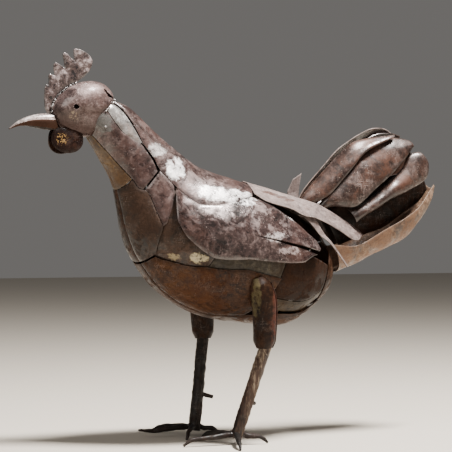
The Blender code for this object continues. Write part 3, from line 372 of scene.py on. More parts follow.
# Surfaces, as steel() takes them. Zones and glints are in the model's own units.
STEELS = {
    "rust_brown": dict(
        tones=((0.009, 0.005, 0.0045), (0.033, 0.018, 0.016), (0.105, 0.072, 0.066)),
        rust=(0.062, 0.025, 0.018), rust_share=0.5, gloss=0.17, coat=1.0,
        # Zones one to eight are painted sheen and painted light on the back and wing; the ninth is the
        # neck's own grey.
        zones=(
            ((-98, -44, 424), (9, 16, 22), (0.82, 0.80, 0.79), 0.95),
            ((-113, -42, 409), (12, 16, 18), (0.82, 0.80, 0.79), 0.95),
            ((-132, -34, 444), (17, 12, 12), (0.40, 0.38, 0.37), 0.8),
            ((-48, -62, 378), (28, 20, 13), (0.90, 0.87, 0.86), 0.97),
            ((-8, -66, 374), (34, 20, 15), (0.90, 0.87, 0.86), 0.97),
            ((-46, -76, 352), (34, 20, 14), (0.30, 0.25, 0.24), 0.8),
            ((40, -86, 308), (34, 14, 11), (0.46, 0.41, 0.40), 0.9),
            ((58, -86, 289), (38, 16, 9), (0.34, 0.27, 0.26), 0.9),
            ((-217, -27, 485), (17, 14, 14), (0.085, 0.084, 0.078), 0.9),
        )),
    "head": dict(
        tones=((0.028, 0.017, 0.016), (0.090, 0.060, 0.056), (0.215, 0.160, 0.152)),
        # Painted shade on what faces down, and painted golden glints of light on the side of the head.
        rust=(0.095, 0.046, 0.036), rust_share=0.4, gloss=0.22, coat=1.0, under=(0.80, 0.12, -0.42),
        glints=(((-264, -24, 495), (6, 9, 9), (0.70, 0.55, 0.38), 0.9),)),
    "beak": dict(
        tones=((0.090, 0.070, 0.064), (0.300, 0.250, 0.235), (0.520, 0.470, 0.455)),
        # Painted shade on the beak's side faces and underside.
        rust=(0.120, 0.060, 0.040), rust_share=0.2, gloss=0.28, coat=0.6, under=(0.98, 0.62, 0.35)),
    "comb": dict(
        tones=((0.011, 0.008, 0.009), (0.080, 0.054, 0.050), (0.310, 0.250, 0.245)),
        rust=(0.100, 0.044, 0.032), rust_share=0.4, gloss=0.22, coat=1.0),
    # Painted shade: tones darkened for plates that face down or lie under the wings, and for the croup in
    # its gap.
    "dark_steel": dict(
        tones=((0.004, 0.002, 0.0015), (0.016, 0.008, 0.004), (0.050, 0.029, 0.020)),
        rust=(0.045, 0.019, 0.008), rust_share=0.5, gloss=0.30, coat=0.30, shine=0.25, metal=0.1,
        # The zones are the front flank's own cream paint.
        zones=(
            ((-84, -82, 279), (16, 20, 8), (0.42, 0.36, 0.22), 0.9),
            ((-122, -78, 280), (15, 20, 7), (0.26, 0.21, 0.12), 0.9),
        )),
    "belly_rust": dict(
        tones=((0.006, 0.002, 0.0008), (0.025, 0.009, 0.003), (0.055, 0.024, 0.010)),
        rust=(0.050, 0.017, 0.005), rust_share=0.6, gloss=0.38, coat=0.08, shine=0.12, metal=0.0,
        specks=0.3),
    "rump": dict(
        tones=((0.006, 0.002, 0.0005), (0.015, 0.005, 0.0015), (0.026, 0.010, 0.004)),
        rust=(0.022, 0.008, 0.002), rust_share=0.4, gloss=0.40, coat=0.0, shine=0.12, metal=0.0,
        scratches=0.1, specks=0.1),
    "throat": dict(
        tones=((0.020, 0.010, 0.004), (0.060, 0.033, 0.012), (0.130, 0.082, 0.035)),
        rust=(0.080, 0.036, 0.010), rust_share=0.6, gloss=0.36, coat=0.25, shine=0.3, metal=0.0),
    "cheek": dict(
        tones=((0.060, 0.056, 0.052), (0.170, 0.164, 0.156), (0.300, 0.292, 0.282)),
        rust=(0.110, 0.060, 0.042), rust_share=0.5, gloss=0.26, coat=0.8, metal=0.5, specks=0.3),
    # The rear flank's own greenish grey, darkened as painted shade under the wing.
    "flank_grey_shaded": dict(
        tones=((0.009, 0.006, 0.003), (0.026, 0.020, 0.013), (0.062, 0.052, 0.036)),
        rust=(0.030, 0.014, 0.006), rust_share=0.6, gloss=0.36, coat=0.12, shine=0.2, metal=0.0,
        specks=0.3),
    "band": dict(
        tones=((0.010, 0.005, 0.002), (0.030, 0.018, 0.007), (0.075, 0.054, 0.026)),
        rust=(0.036, 0.015, 0.005), rust_share=0.5, gloss=0.40, coat=0.10, shine=0.2, metal=0.0,
        specks=0.2),
    "strip_tan": dict(
        tones=((0.060, 0.041, 0.037), (0.135, 0.099, 0.090), (0.215, 0.168, 0.154)),
        rust=(0.090, 0.043, 0.029), rust_share=0.40, gloss=0.50, coat=0.1, metal=0.1, specks=0.2,
        scratches=0.3,
        # The zones paint the dark slit between the strips as shade.
        zones=tuple((place, (12, 22, 2.8), (0.045, 0.014, 0.006), 0.97) for place in STRIP_SLIT_SHADE)),
    "tail_rust": dict(
        tones=((0.008, 0.004, 0.003), (0.026, 0.014, 0.011), (0.072, 0.047, 0.040)),
        rust=(0.068, 0.024, 0.011), rust_share=0.7, gloss=0.27, coat=0.55, shine=0.35, metal=0.25,
        scratches=0.9),
    # Painted shade: the inner tail sheets, darkened deep inside the fan.
    "tail_shaded": dict(
        tones=((0.002, 0.0008, 0.0004), (0.007, 0.003, 0.0015), (0.019, 0.009, 0.005)),
        rust=(0.024, 0.008, 0.003), rust_share=0.6, gloss=0.36, coat=0.05, shine=0.1, metal=0.0),
    # Painted light: the far top tail sheet, which faces away from the lamps, made lighter.
    "tail_far_painted_light": dict(
        tones=((0.060, 0.040, 0.036), (0.160, 0.112, 0.100), (0.300, 0.230, 0.210)),
        rust=(0.160, 0.070, 0.034), rust_share=0.5, gloss=0.34, coat=0.4, metal=0.0),
    "trough": dict(
        tones=((0.036, 0.018, 0.010), (0.115, 0.066, 0.040), (0.230, 0.150, 0.098)),
        rust=(0.160, 0.070, 0.027), rust_share=0.6, gloss=0.40, coat=0.3, metal=0.0),
    # Tones darkened as painted shade under the wings; the zones are patches of the thigh's own colour.
    "thigh": dict(
        tones=((0.004, 0.0015, 0.001), (0.011, 0.0045, 0.002), (0.026, 0.012, 0.006)),
        rust=(0.030, 0.010, 0.004), rust_share=0.6, gloss=0.38, coat=0.05, shine=0.10, metal=0.0,
        specks=0.2,
        zones=(
            ((7, -96, 222), (6, 14, 34), (0.070, 0.056, 0.026), 0.85),
            ((36, -94, 188), (12, 16, 50), (0.060, 0.019, 0.012), 0.8),
        )),
    # Painted shade: near-black tones for the right shin, the spurs and the toes.
    "rod_steel": dict(
        tones=((0.002, 0.0015, 0.001), (0.006, 0.004, 0.003), (0.022, 0.015, 0.012)),
        rust=(0.020, 0.008, 0.005), rust_share=0.5, gloss=0.42, coat=0.12, shine=0.2, metal=0.0),
    "rod_left": dict(
        tones=((0.008, 0.004, 0.003), (0.036, 0.019, 0.013), (0.230, 0.180, 0.130)),
        rust=(0.055, 0.022, 0.012), rust_share=0.4, gloss=0.40, coat=0.2, shine=0.3, specks=0.3,
        scratches=0.5, stretch=(1.3, 1.3, 0.14)),
    "wattle": dict(
        tones=((0.005, 0.0015, 0.001), (0.011, 0.004, 0.0025), (0.024, 0.010, 0.006)),
        rust=(0.040, 0.015, 0.005), rust_share=0.5, gloss=0.34, coat=0.1, shine=0.12, metal=0.0,
        # The glints are painted golden glints of light.
        specks=0.1, glints=(((-281, -19, 460), (9, 9, 11), (0.52, 0.32, 0.12), 0.9),)),
    "weld": dict(
        tones=((0.040, 0.034, 0.032), (0.220, 0.205, 0.200), (0.600, 0.580, 0.570)),
        rust=(0.120, 0.075, 0.055), rust_share=0.3, gloss=0.24, metal=0.5, specks=0.8),
    "weld_dark": dict(
        tones=((0.004, 0.003, 0.003), (0.014, 0.010, 0.009), (0.070, 0.054, 0.050)),
        rust=(0.050, 0.022, 0.014), rust_share=0.3, gloss=0.34),
}

# Lights: name, direction, distance, size, power in watts and colour.
LIGHTS = (
    ("sun_panel", (0.22, -0.26, 0.94), 2.6, 0.62, 400.0, (1.0, 0.96, 0.92)),
    ("head_panel", (-0.62, -0.52, 0.58), 3.0, 1.8, 34.0, (1.0, 0.94, 0.88)),
    ("side_panel", (0.35, -0.9, 0.30), 3.4, 2.0, 4.0, (1.0, 0.90, 0.78)),
)

LIGHT_TARGET = 0.3
SKY_COLOUR = (0.90, 0.86, 0.82, 1)
SKY_STRENGTH = 0.17
FLOOR_COLOUR = (0.48, 0.44, 0.38, 1)
FLOOR_ROUGHNESS = 0.9
FLOOR_HALF = 9.0

CAMERA_AZIMUTH = -25.0
CAMERA_DISTANCE = 3.0
CAMERA_SCALE = 0.00158
CAMERA_TARGET = 0.328
PHOTO_SIDE = 452
SENSOR = 36.0


def spline(points, share):
    """Points at shares of the way along a smooth line through the given points."""
    points = np.asarray(points, float)
    if points.ndim == 1:
        points = points[:, None]
    ends = np.vstack((2 * points[:1] - points[1:2], points, 2 * points[-1:] - points[-2:-1]))
    place = np.asarray(share, float) * (len(points) - 1)
    index = np.clip(np.floor(place).astype(int), 0, len(points) - 2)
    f = (place - index)[..., None]
    before, here, there, after = (ends[index + k] for k in range(4))
    return 0.5 * (
        2 * here
        + (there - before) * f
        + (2 * before - 5 * here + 4 * there - after) * f ** 2
        + (3 * here - before - 3 * there + after) * f ** 3
    )


def along(line, u):
    """Angles of a seam line at u, with its corners eased."""
    ease = 0.006
    us = [p[0] for p in line]
    angles = [p[1] for p in line]
    return sum(np.interp(u + d, us, angles) for d in (-ease, 0.0, ease)) / 3.0


def ring_point(u, phi, side):
    """Points of the body surface; phi in radians from the ridge."""
    values = spline(RINGS, u)
    top_x, top_z, low_x, low_z, width = (values[..., k] for k in range(5))
    drop = np.cos(phi) - SAG * np.sin(phi) ** 2
    x = (top_x + low_x) / 2 + (top_x - low_x) / 2 * drop
    z = (top_z + low_z) / 2 + (top_z - low_z) / 2 * drop
    return np.stack((x, side * width * np.sin(phi), z), -1) * UNIT


def skin(u, angle, side, lift=0.0):
    """Points at the given lift above the body surface; angle in degrees from the ridge."""
    u, angle, side, lift = np.broadcast_arrays(u, angle, side, lift)
    phi = np.radians(angle)
    step = 0.002
    du = ring_point(u + step, phi, side) - ring_point(u - step, phi, side)
    dp = ring_point(u, phi + step, side) - ring_point(u, phi - step, side)
    normal = np.cross(dp, du) * -side[..., None]
    normal /= np.linalg.norm(normal, axis=-1, keepdims=True)
    return ring_point(u, phi, side) + normal * lift[..., None]


def head_joint():
    """A point and the rearward normal of the plane where the neck meets the head."""
    top_x, top_z, low_x, low_z, _ = RINGS[0]
    span = np.array((top_x - low_x, 0, top_z - low_z), float)
    normal = np.array((span[2], 0, -span[0])) / np.linalg.norm(span)
    return np.array((top_x, 0, top_z)) * UNIT, normal


def neck_start(angle, side):
    """Share of the length at which the skin leaves the head joint, one seam behind it."""
    point, normal = head_joint()
    low = -0.06
    high = 0.06
    for _ in range(30):
        middle = (low + high) / 2
        if (skin(middle, angle, side) - point) @ normal > JOINT_GAP:
            high = middle
        else:
            low = middle
    return high


def head_point(direction):
    """Points of the head surface in unit directions of the head's own frame."""
    c = math.cos(HEAD_PITCH)
    s = math.sin(HEAD_PITCH)
    a, b, h = HEAD_SEMI_AXES
    long_way = direction[..., 0] * a
    up_way = direction[..., 2] * h
    x = HEAD_CENTRE[0] + long_way * c - up_way * s
    z = HEAD_CENTRE[1] + long_way * s + up_way * c
    return np.stack((x, direction[..., 1] * b, z), -1) * UNIT


def eased(share):
    """A share kept from 0 to 1 that starts and ends gently."""
    share = np.clip(share, 0, 1)
    return share ** 2 * (3 - 2 * share)


def unit(vectors):
    """The same vectors at length one."""
    return vectors / np.maximum(np.linalg.norm(vectors, axis=-1, keepdims=True), 1e-12)


def noise_at(places, scale, seed):
    """Smooth noise of about -1 to 1 at places in metres; scale is the size of its lumps in metres."""
    shift = Vector((seed * 17.3, seed * 5.1, -seed * 9.7))
    flat = places.reshape(-1, 3)
    values = [noise.noise(Vector(p) / scale + shift) for p in flat]
    return np.array(values).reshape(places.shape[:-1]) * 1.6


# Node materials.

class Shader:
    """Short calls for building one procedural steel surface."""

    def __init__(self, name):
        self.material = bpy.data.materials.new(name)
        self.material.use_nodes = True
        self.tree = self.material.node_tree
        self.surface = self.tree.nodes["Principled BSDF"]
        places = self.tree.nodes.new("ShaderNodeTexCoord")
        self.coordinates = places.outputs["Object"]
        self.facing = places.outputs["Normal"]

    def node(self, kind, values=None, links=None, **settings):
        node = self.tree.nodes.new("ShaderNode" + kind)
        for key, value in settings.items():
            setattr(node, key, value)
        for key, value in (values or {}).items():
            node.inputs[key].default_value = value
        for key, value in (links or {}).items():
            self.tree.links.new(value, node.inputs[key])
        return node

    def moved(self, stretch, turn=(0.0, 0.0, 0.0)):
        """Coordinates stretched and turned, for marks that run one way."""
        links = {"Vector": self.coordinates}
        return self.node("Mapping", {"Scale": stretch, "Rotation": turn}, links).outputs["Vector"]

    def noise(self, scale, detail=4.0, roughness=0.6, vector=None, distortion=0.0):
        values = {"Scale": scale, "Detail": detail, "Roughness": roughness, "Distortion": distortion}
        links = {"Vector": vector or self.coordinates}
        return self.node("TexNoise", values, links).outputs["Fac"]

    def cells(self, scale):
        """Distance to the nearest of scattered points."""
        return self.node("TexVoronoi", {"Scale": scale}, {"Vector": self.coordinates}).outputs["Distance"]

    def math(self, operation, first, second=0.0):
        node = self.node("Math", operation=operation)
        for socket, value in zip(node.inputs, (first, second)):
            if isinstance(value, (int, float)):
                socket.default_value = value
            else:
                self.tree.links.new(value, socket)
        return node.outputs["Value"]

    def times(self, first, second):
        return self.math("MULTIPLY", first, second)

    def plus(self, first, second):
        return self.math("ADD", first, second)

    def band(self, value, low, high):
        """0 below low and 1 above high, or the reverse where low is the larger."""
        values = {"From Min": low, "From Max": high}
        return self.node("MapRange", values, {"Value": value}).outputs["Result"]

    def mix(self, share, first, second):
        """Mixes two colours by a share."""
        node = self.node("Mix", data_type="RGBA")
        for socket, value in ((node.inputs[0], share), (node.inputs[6], first), (node.inputs[7], second)):
            if isinstance(value, (int, float)):
                socket.default_value = value
            elif isinstance(value, tuple):
                socket.default_value = (*value, 1.0)
            else:
                self.tree.links.new(value, socket)
        return node.outputs[2]

    def zone(self, centre, reach, ragged=0.9):
        """1 in an egg-shaped place given in model coordinates, 0 outside it, with a ragged border."""
        sizes = [r * UNIT for r in reach]
        start = tuple(-c * UNIT / r for c, r in zip(centre, sizes))
        values = {"Location": start, "Scale": tuple(1 / r for r in sizes)}
        moved = self.node("Mapping", values, {"Vector": self.coordinates}).outputs["Vector"]
        far = self.node("VectorMath", links={"Vector": moved}, operation="LENGTH").outputs["Value"]
        uneven = self.math("SUBTRACT", self.noise(60.0, 10.0, 0.82), 0.5)
        return self.band(self.plus(far, self.times(uneven, ragged * 3.2)), 1.02, 0.80)

    def attribute(self, name):
        return self.node("Attribute", attribute_name=name).outputs["Fac"]


def mottled(s, tones):
    """The uneven ground colour, the noise that it follows and that noise's two finer parts."""
    dark, middle, light = tones
    broad = s.noise(14.0, 3.0, 0.55)
    patch = s.noise(44.0, 7.0, 0.66, distortion=0.7)
    fine = s.noise(150.0, 7.0, 0.78, distortion=0.3)
    ground = s.plus(s.plus(s.times(broad, 0.25), s.times(patch, 0.30)), s.times(fine, 0.45))
    colour = s.mix(s.band(ground, 0.44, 0.48), dark, middle)
    colour = s.mix(s.band(ground, 0.505, 0.56), colour, light)
    return colour, ground, patch, fine


def scratched(s):
    """1 on thin scratches that run two ways, in some places only."""
    streaks = s.noise(11.0, 5.0, 0.62, vector=s.moved((1.0, 2.0, 9.0), (0.3, 0.9, 0.2)))
    cross = s.noise(13.0, 5.0, 0.62, vector=s.moved((8.0, 1.5, 1.0), (0.2, -0.5, 0.7)))
    lines = [s.math("ABSOLUTE", s.math("SUBTRACT", wave, 0.5)) for wave in (streaks, cross)]
    thin = s.math("MINIMUM", *lines)
    return s.times(s.band(thin, 0.006, 0.001), s.band(s.noise(24.0, 2.0), 0.50, 0.62))


def edge_marks(s, colour, dark, pale):
    """The colour with wear on the cut edges and grime a little way in from them."""
    rim = s.attribute("rim")
    worn = s.times(s.band(rim, 0.35, 0.0), s.band(s.noise(90.0, 3.0), 0.42, 0.62))
    colour = s.mix(s.times(worn, 0.22), colour, pale)
    grime = s.times(s.band(rim, 1.0, 0.25), s.band(s.noise(45.0, 3.0), 0.35, 0.60))
    return s.mix(s.times(grime, 0.45), colour, tuple(c * 0.45 for c in dark))


def steel(name, tones, rust, rust_share, gloss, metal=0.35, specks=0.5, scratches=0.4, coat=0.7,
          shine=0.5, stretch=None, under=None, zones=(), glints=()):
    """Rusted sheet under satin varnish.

    The dark, middle and light tones are the mottled ground, and rust lies over it in blotches.
    Gloss is the roughness of the smooth places, coat the varnish and shine the reflection under
    it. Specks and scratches say how strongly these show. Stretch draws the marks out along the
    axes where it is small. Under is a share of painted shade by which what faces down is
    darkened, and the two heights of the facing between which that sets in. Zones are patches of
    colour in one place, some the steel's own and some painted sheen and painted light; glints are
    painted glints of light in specks. Each is a centre, a reach, a colour and a share.
    """
    s = Shader(name)
    if stretch:
        s.coordinates = s.moved(stretch)
    dark, _, light = tones
    colour, ground, patch, fine = mottled(s, tones)
    blotch = s.times(s.noise(38.0, 8.0, 0.72, distortion=0.8), s.noise(9.0, 2.0, 0.5))
    rusty = s.band(blotch, 0.27 - 0.05 * rust_share, 0.37 - 0.08 * rust_share)
    colour = s.mix(s.times(rusty, rust_share), colour, rust)

    # Patches of colour: some are the steel's own paint, some painted sheen and painted light.
    for centre, reach, tint, share in zones:
        inside = s.times(s.zone(centre, reach), s.band(ground, 0.44, 0.50))
        colour = s.mix(s.times(inside, share), colour, tint)
    grain = s.noise(420.0, 3.0, 0.6)
    # Painted glints of light, in specks of the fine grain.
    for centre, reach, tint, share in glints:
        inside = s.times(s.zone(centre, reach, 1.5), s.band(grain, 0.53, 0.57))
        colour = s.mix(s.times(inside, share), colour, tint)
    colour = s.mix(s.times(s.band(grain, 0.52, 0.68), 0.5), colour, dark)

    pale = tuple(min(c * 2.2 + 0.10, 0.7) for c in light)
    colour = s.mix(s.times(scratched(s), scratches), colour, pale)
    spots = s.times(s.band(s.cells(310.0), 0.16, 0.08), s.band(s.noise(34.0, 4.0), 0.55, 0.60))
    colour = s.mix(s.times(spots, specks), colour, SPECK_COLOUR)
    colour = edge_marks(s, colour, dark, pale)

    matte = s.math("MAXIMUM", s.times(rusty, 0.7), s.band(patch, 0.50, 0.56))
    rough = s.plus(s.plus(s.times(matte, 0.30), gloss), s.times(grain, 0.10))
    bumps = s.plus(s.times(patch, 0.7), s.times(grain, 0.16))
    bumps = s.plus(s.plus(bumps, s.times(fine, 0.35)), s.times(spots, 0.5))
    bump = s.node("Bump", {"Strength": 0.55, "Distance": BUMP_DEPTH}, {"Height": bumps})
    varnish = s.math("SUBTRACT", coat, s.times(matte, coat * 0.85))
    s.surface.inputs["Specular IOR Level"].default_value = shine
    # Painted shade: what faces down is darkened towards a dark rust tone, and its varnish and reflection
    # are cut back.
    if under:
        share, low, high = under
        height = s.node("SeparateXYZ", links={"Vector": s.facing}).outputs["Z"]
        away = s.times(s.band(height, low, high), share)
        colour = s.mix(away, colour, tuple(c * 0.35 for c in rust))
        lit = s.math("SUBTRACT", 1.0, away)
        varnish = s.times(varnish, lit)
        s.tree.links.new(s.times(lit, shine), s.surface.inputs["Specular IOR Level"])
    s.tree.links.new(colour, s.surface.inputs["Base Color"])
    s.tree.links.new(rough, s.surface.inputs["Roughness"])
    s.tree.links.new(bump.outputs["Normal"], s.surface.inputs["Normal"])
    s.tree.links.new(varnish, s.surface.inputs["Coat Weight"])
    s.surface.inputs["Metallic"].default_value = metal
    s.surface.inputs["Coat Roughness"].default_value = gloss * 0.8
    return s.material


# Mesh building.

def model_place():
    """Where the model's zero lies in the frame, read off the comb's box."""
    low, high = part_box("comb")
    top = max(p[1] for p in COMB_OUTLINE) * UNIT
    rear = max(p[0] for p in COMB_OUTLINE) * UNIT
    return Vector((high.x - rear, (low.y + high.y) / 2, high.z - top))


def finished(item, look, *nodes):
    """Gives an object its surface, its body and the nodes that it stands for."""
    item.data.materials.append(LOOK[look])
    item.location = ORIGIN
    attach(item, "root")
    if nodes:
        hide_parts(*nodes)
    return item


def lengths_to_border(places):
    """Distance of each grid point from the nearest border, in metres."""
    reach = []
    for axis in (0, 1):
        steps = np.linalg.norm(np.diff(places, axis=axis), axis=-1)
        run = np.cumsum(steps, axis=axis)
        pad = [(0, 0), (0, 0)]
        pad[axis] = (1, 0)
        run = np.pad(run, pad)
        total = run[-1:, :] if axis == 0 else run[:, -1:]
        reach.append(np.minimum(run, total - run))
    return reach


def grid_faces(shape):
    """The numbers of the four corners of each cell of a grid."""
    ids = np.arange(shape[0] * shape[1]).reshape(shape)
    return np.stack((ids[:-1, :-1], ids[1:, :-1], ids[1:, 1:], ids[:-1, 1:]), -1)


def mark_rim(mesh, values):
    """Stores how near each point is to a cut edge: 0 on the edge, 1 well inside."""
    rim = mesh.attributes.new("rim", "FLOAT", "POINT")
    rim.data.foreach_set("value", values)


def sheet(name, point, counts, outward, thickness, look, dent=0.0006, tuck=TUCK, seed=0, hole=None,
          tucked=(True, True), closed=False):
    """A bent sheet: point(t, s) over the unit square, thickened away from its outward side."""
    columns, rows = counts
    t, s = np.meshgrid(np.linspace(0, 1, columns + 1), np.linspace(0, 1, rows + 1), indexing="ij")
    places = point(t, s)
    along_t = np.gradient(places, axis=0)
    along_s = np.gradient(places, axis=1)
    normal = unit(np.cross(along_t, along_s))
    facing = outward(t, s, places) if callable(outward) else np.broadcast_to(outward, places.shape)
    turned = np.sum(normal * facing) < 0
    if turned:
        normal = -normal
    reach_t, reach_s = lengths_to_border(places)
    if closed:
        reach_s = np.full(t.shape, 1.0)
    inset = np.full(t.shape, 1e9)
    if tucked[0]:
        inset = np.minimum(inset, reach_t)
    if tucked[1]:
        inset = np.minimum(inset, reach_s)
    if dent:
        wave = noise_at(places, DENT_SIZES[0], seed) * 0.65
        wave += noise_at(places, DENT_SIZES[1], seed + 3) * 0.35
        fade = np.clip(np.minimum(reach_t, reach_s) / DENT_BORDER, 0.25, 1.0)
        places = places + normal * (wave * fade * dent)[..., None]
    if tuck:
        depth = tuck * (1 - np.clip(inset / TUCK_WIDTH, 0, 1)) ** 2
        places = places - normal * depth[..., None]
    corners = grid_faces(t.shape)
    if hole is not None:
        middles = [(v[:-1, :-1] + v[1:, 1:]) / 2 for v in (t, s)]
        corners = corners[~hole(*middles)]
    faces = corners.reshape(-1, 4)
    if turned:
        faces = faces[:, ::-1]
    mesh = bpy.data.meshes.new(name)
    mesh.from_pydata(places.reshape(-1, 3).tolist(), [], faces.tolist())
    mark_rim(mesh, np.clip(np.minimum(reach_t, reach_s) / RIM_WIDTH, 0, 1).ravel())
    tidy_mesh(mesh)
    item = linked(name, mesh)
    wall = item.modifiers.new("wall", "SOLIDIFY")
    wall.thickness = thickness
    wall.offset = -1.0
    edge = item.modifiers.new("cut edge", "BEVEL")
    edge.width = EDGE_BEVEL
    edge.segments = 1
    edge.limit_method = "ANGLE"
    edge.angle_limit = math.radians(50)
    edge.harden_normals = True
    return finished(item, look, name)


def tidy_mesh(mesh, solid=False):
    """Drops loose points and doubled corners, shades the faces smooth and turns a solid's outward."""
    bm = bmesh.new()
    bm.from_mesh(mesh)
    bmesh.ops.remove_doubles(bm, verts=bm.verts[:], dist=0.00003)
    bmesh.ops.delete(bm, geom=[v for v in bm.verts if not v.link_faces], context="VERTS")
    for face in bm.faces:
        face.smooth = True
    if solid:
        bmesh.ops.recalc_face_normals(bm, faces=bm.faces[:])
    bm.to_mesh(mesh)
    bm.free()


def longest(lines):
    """Length of the longest of some rows of points."""
    return max(np.linalg.norm(np.diff(line, axis=0), axis=1).sum() for line in lines)


def grid_counts(point, step=GRID):
    """Columns and rows that give a sheet cells of about the step."""
    steps = np.linspace(0, 1, 33)
    columns = longest([point(steps, np.full(33, s)) for s in (0.1, 0.5, 0.9)])
    rows = longest([point(np.full(33, t), steps) for t in (0.1, 0.5, 0.9)])
    return max(int(columns / step), 4), max(int(rows / step), 3)


def limit_at(limit, s):
    """A start or an end of a plate, which may change across its width."""
    if isinstance(limit, (int, float)):
        return np.full(np.shape(s), float(limit))
    return np.interp(s, np.linspace(0, 1, len(limit)), limit)


def edge_at(edge, u):
    """Angles of a seam given as a line or as one angle."""
    if isinstance(edge, (int, float)):
        return np.full(np.shape(u), float(edge))
    return along(edge, u)


def plate(name, side, edge_a, edge_b, start, end, look, seed, lift=0.0):
    """A plate of the body between two seam lines and from start to end along the body."""
    def place(t, s):
        first = limit_at(start, s)
        u = first + (limit_at(end, s) - first) * t
        a = edge_at(edge_a, u)
        b = edge_at(edge_b, u)
        across = np.linalg.norm(skin(u, a, side) - skin(u, b, side), axis=-1)
        margin = np.minimum(VISUAL_SEAM / 2 / np.maximum(across, 1e-6), 0.3)
        return u, a + (b - a) * (margin + (1 - 2 * margin) * s)

    def trimmed(t, s):
        ends = [skin(*place(share + 0 * s, s), side) for share in (0.45, 0.55)]
        length = np.linalg.norm(ends[1] - ends[0], axis=-1) * 10
        margin = np.minimum(VISUAL_SEAM / 2 / np.maximum(length, 1e-6), 0.2)
        return place(margin + (1 - 2 * margin) * t, s)

    def point(t, s):
        u, angle = trimmed(t, s)
        return skin(u, angle, side, lift)

    def outward(t, s, places):
        return places - skin(trimmed(t, s)[0], 90.0, side) * (1, 0, 1)

    sheet(name, point, grid_counts(point), outward, SHEET, look, seed=seed)


def wing_place(t, s):
    """Length share, angle and lift of places on a wing; rows 0 to 1 lie above its slit, 1 to 2 below."""
    row = 2 * s
    lower = s > 0.5
    row = np.where(lower, 1 + (row - 1 - WING_LIPS) / (1 - WING_LIPS), row / (1 - WING_LIPS))
    row = np.clip(row, 0.0, 2.0)
    tip = np.interp(row, [p[0] for p in WING_TIPS], [p[1] for p in WING_TIPS])
    u = WING_FRONT + (tip - WING_FRONT) * t
    top = along(WING_TOP, u)
    low = along(WING_LOW, u)
    share = np.interp(u, (WING_SLIT_EASE, WING_SLIT_START), (0.0, 1.0))
    slit = (top + (low - top) * WING_SLIT_LEVEL) * (1 - share) + along(WING_SLIT, u) * share
    slit = np.clip(slit, top + 0.2 * (low - top), low - 0.12 * (low - top))
    gape = np.interp(u, (WING_SLIT_START, WING_REAR), WING_SLIT_GAPE) / 2
    above = top + (slit - gape - top) * np.minimum(row, 1.0)
    below = slit + gape + (low - slit - gape) * (row - 1.0)
    angle = np.where(lower, below, above)
    down = (angle - top) / np.maximum(low - top, 1e-6)
    rise = WING_LIFT * np.minimum(down * WING_LIFT_RISE, 1.0)
    late = np.maximum(0.0, (u - WING_TIP_START) / WING_TIP_LENGTH)
    rise += late * np.where(lower, WING_LOWER_TIP_LIFT, WING_TIP_LIFT)
    past = np.maximum(0.0, u - WING_SLIT_START) / (WING_REAR - WING_SLIT_START)
    rise += np.where(lower, 0.0, WING_LIP_LIFT * row * past)
    return u, angle, rise


def build_wings():
    """Each wing is one sheet, lifted off the flank, with a slit between its two rear tips."""
    for word, side in SIDES:
        def point(t, s):
            u, angle, rise = wing_place(t, s)
            return skin(u, angle, side, rise)

        def outward(t, s, places):
            return places - skin(wing_place(t, s)[0], 90.0, side) * (1, 0, 1)

        def slit(t, s):
            return (np.abs(s - 0.5) < WING_LIPS / 2) & (wing_place(t, s)[0] > WING_SLIT_START)

        columns, rows = grid_counts(point)
        rows += rows % 2 + 1
        sheet("wing_" + word, point, (columns, rows), outward, SHEET, "rust_brown",
              dent=0.0008, tuck=0.0006, seed=5, hole=slit)


def joint_starts(*angles):
    """Where a plate starts at the head joint, at angles spread across its width."""
    return [neck_start(angle, LEFT) for angle in angles]


def inset(t):
    """A share drawn in a little from both ends."""
    return END_INSET + (1 - 2 * END_INSET) * t


def build_neck():
    """The nape plate, and the plates of both sides that meet the head."""
    first = neck_start(0, LEFT)

    def point(t, s):
        u = first + (NAPE_END - first) * inset(t)
        angle = along(NAPE_EDGE, u) * (2 * s - 1)
        side = np.where(angle < 0, LEFT, RIGHT)
        shift = np.where(np.abs(2 * s - 1) > 0.99, 0.0006, 0.0) * np.sign(angle)
        return skin(u, np.abs(angle), side) - np.stack((shift * 0, shift, shift * 0), -1)

    sheet("nape_plate", point, grid_counts(point), (0, 0, 1), SHEET, "rust_brown", seed=11)
    plate("cheek_plate", LEFT, BACK_EDGE, CHEEK_EDGE, joint_starts(39, 70), 0.178, "cheek", 21)
    for word, side in SIDES:
        seed = SIDE_SEEDS[word]
        low = BACK_GAPE if side == LEFT else BACK_EDGE
        top = CHEEK_EDGE[:-2] + NECK_GAPE if side == LEFT else BACK_EDGE
        starts = joint_starts(70, 90, 110, 130, 150, 165)
        plate("back_plate_" + word, side, NAPE_EDGE, low, joint_starts(26, 38), 0.66, "rust_brown", seed)
        plate("neck_plate_" + word, side, top, THROAT_EDGE, starts, (0.292, 0.297, 0.303), "rust_brown",
              seed + 2)


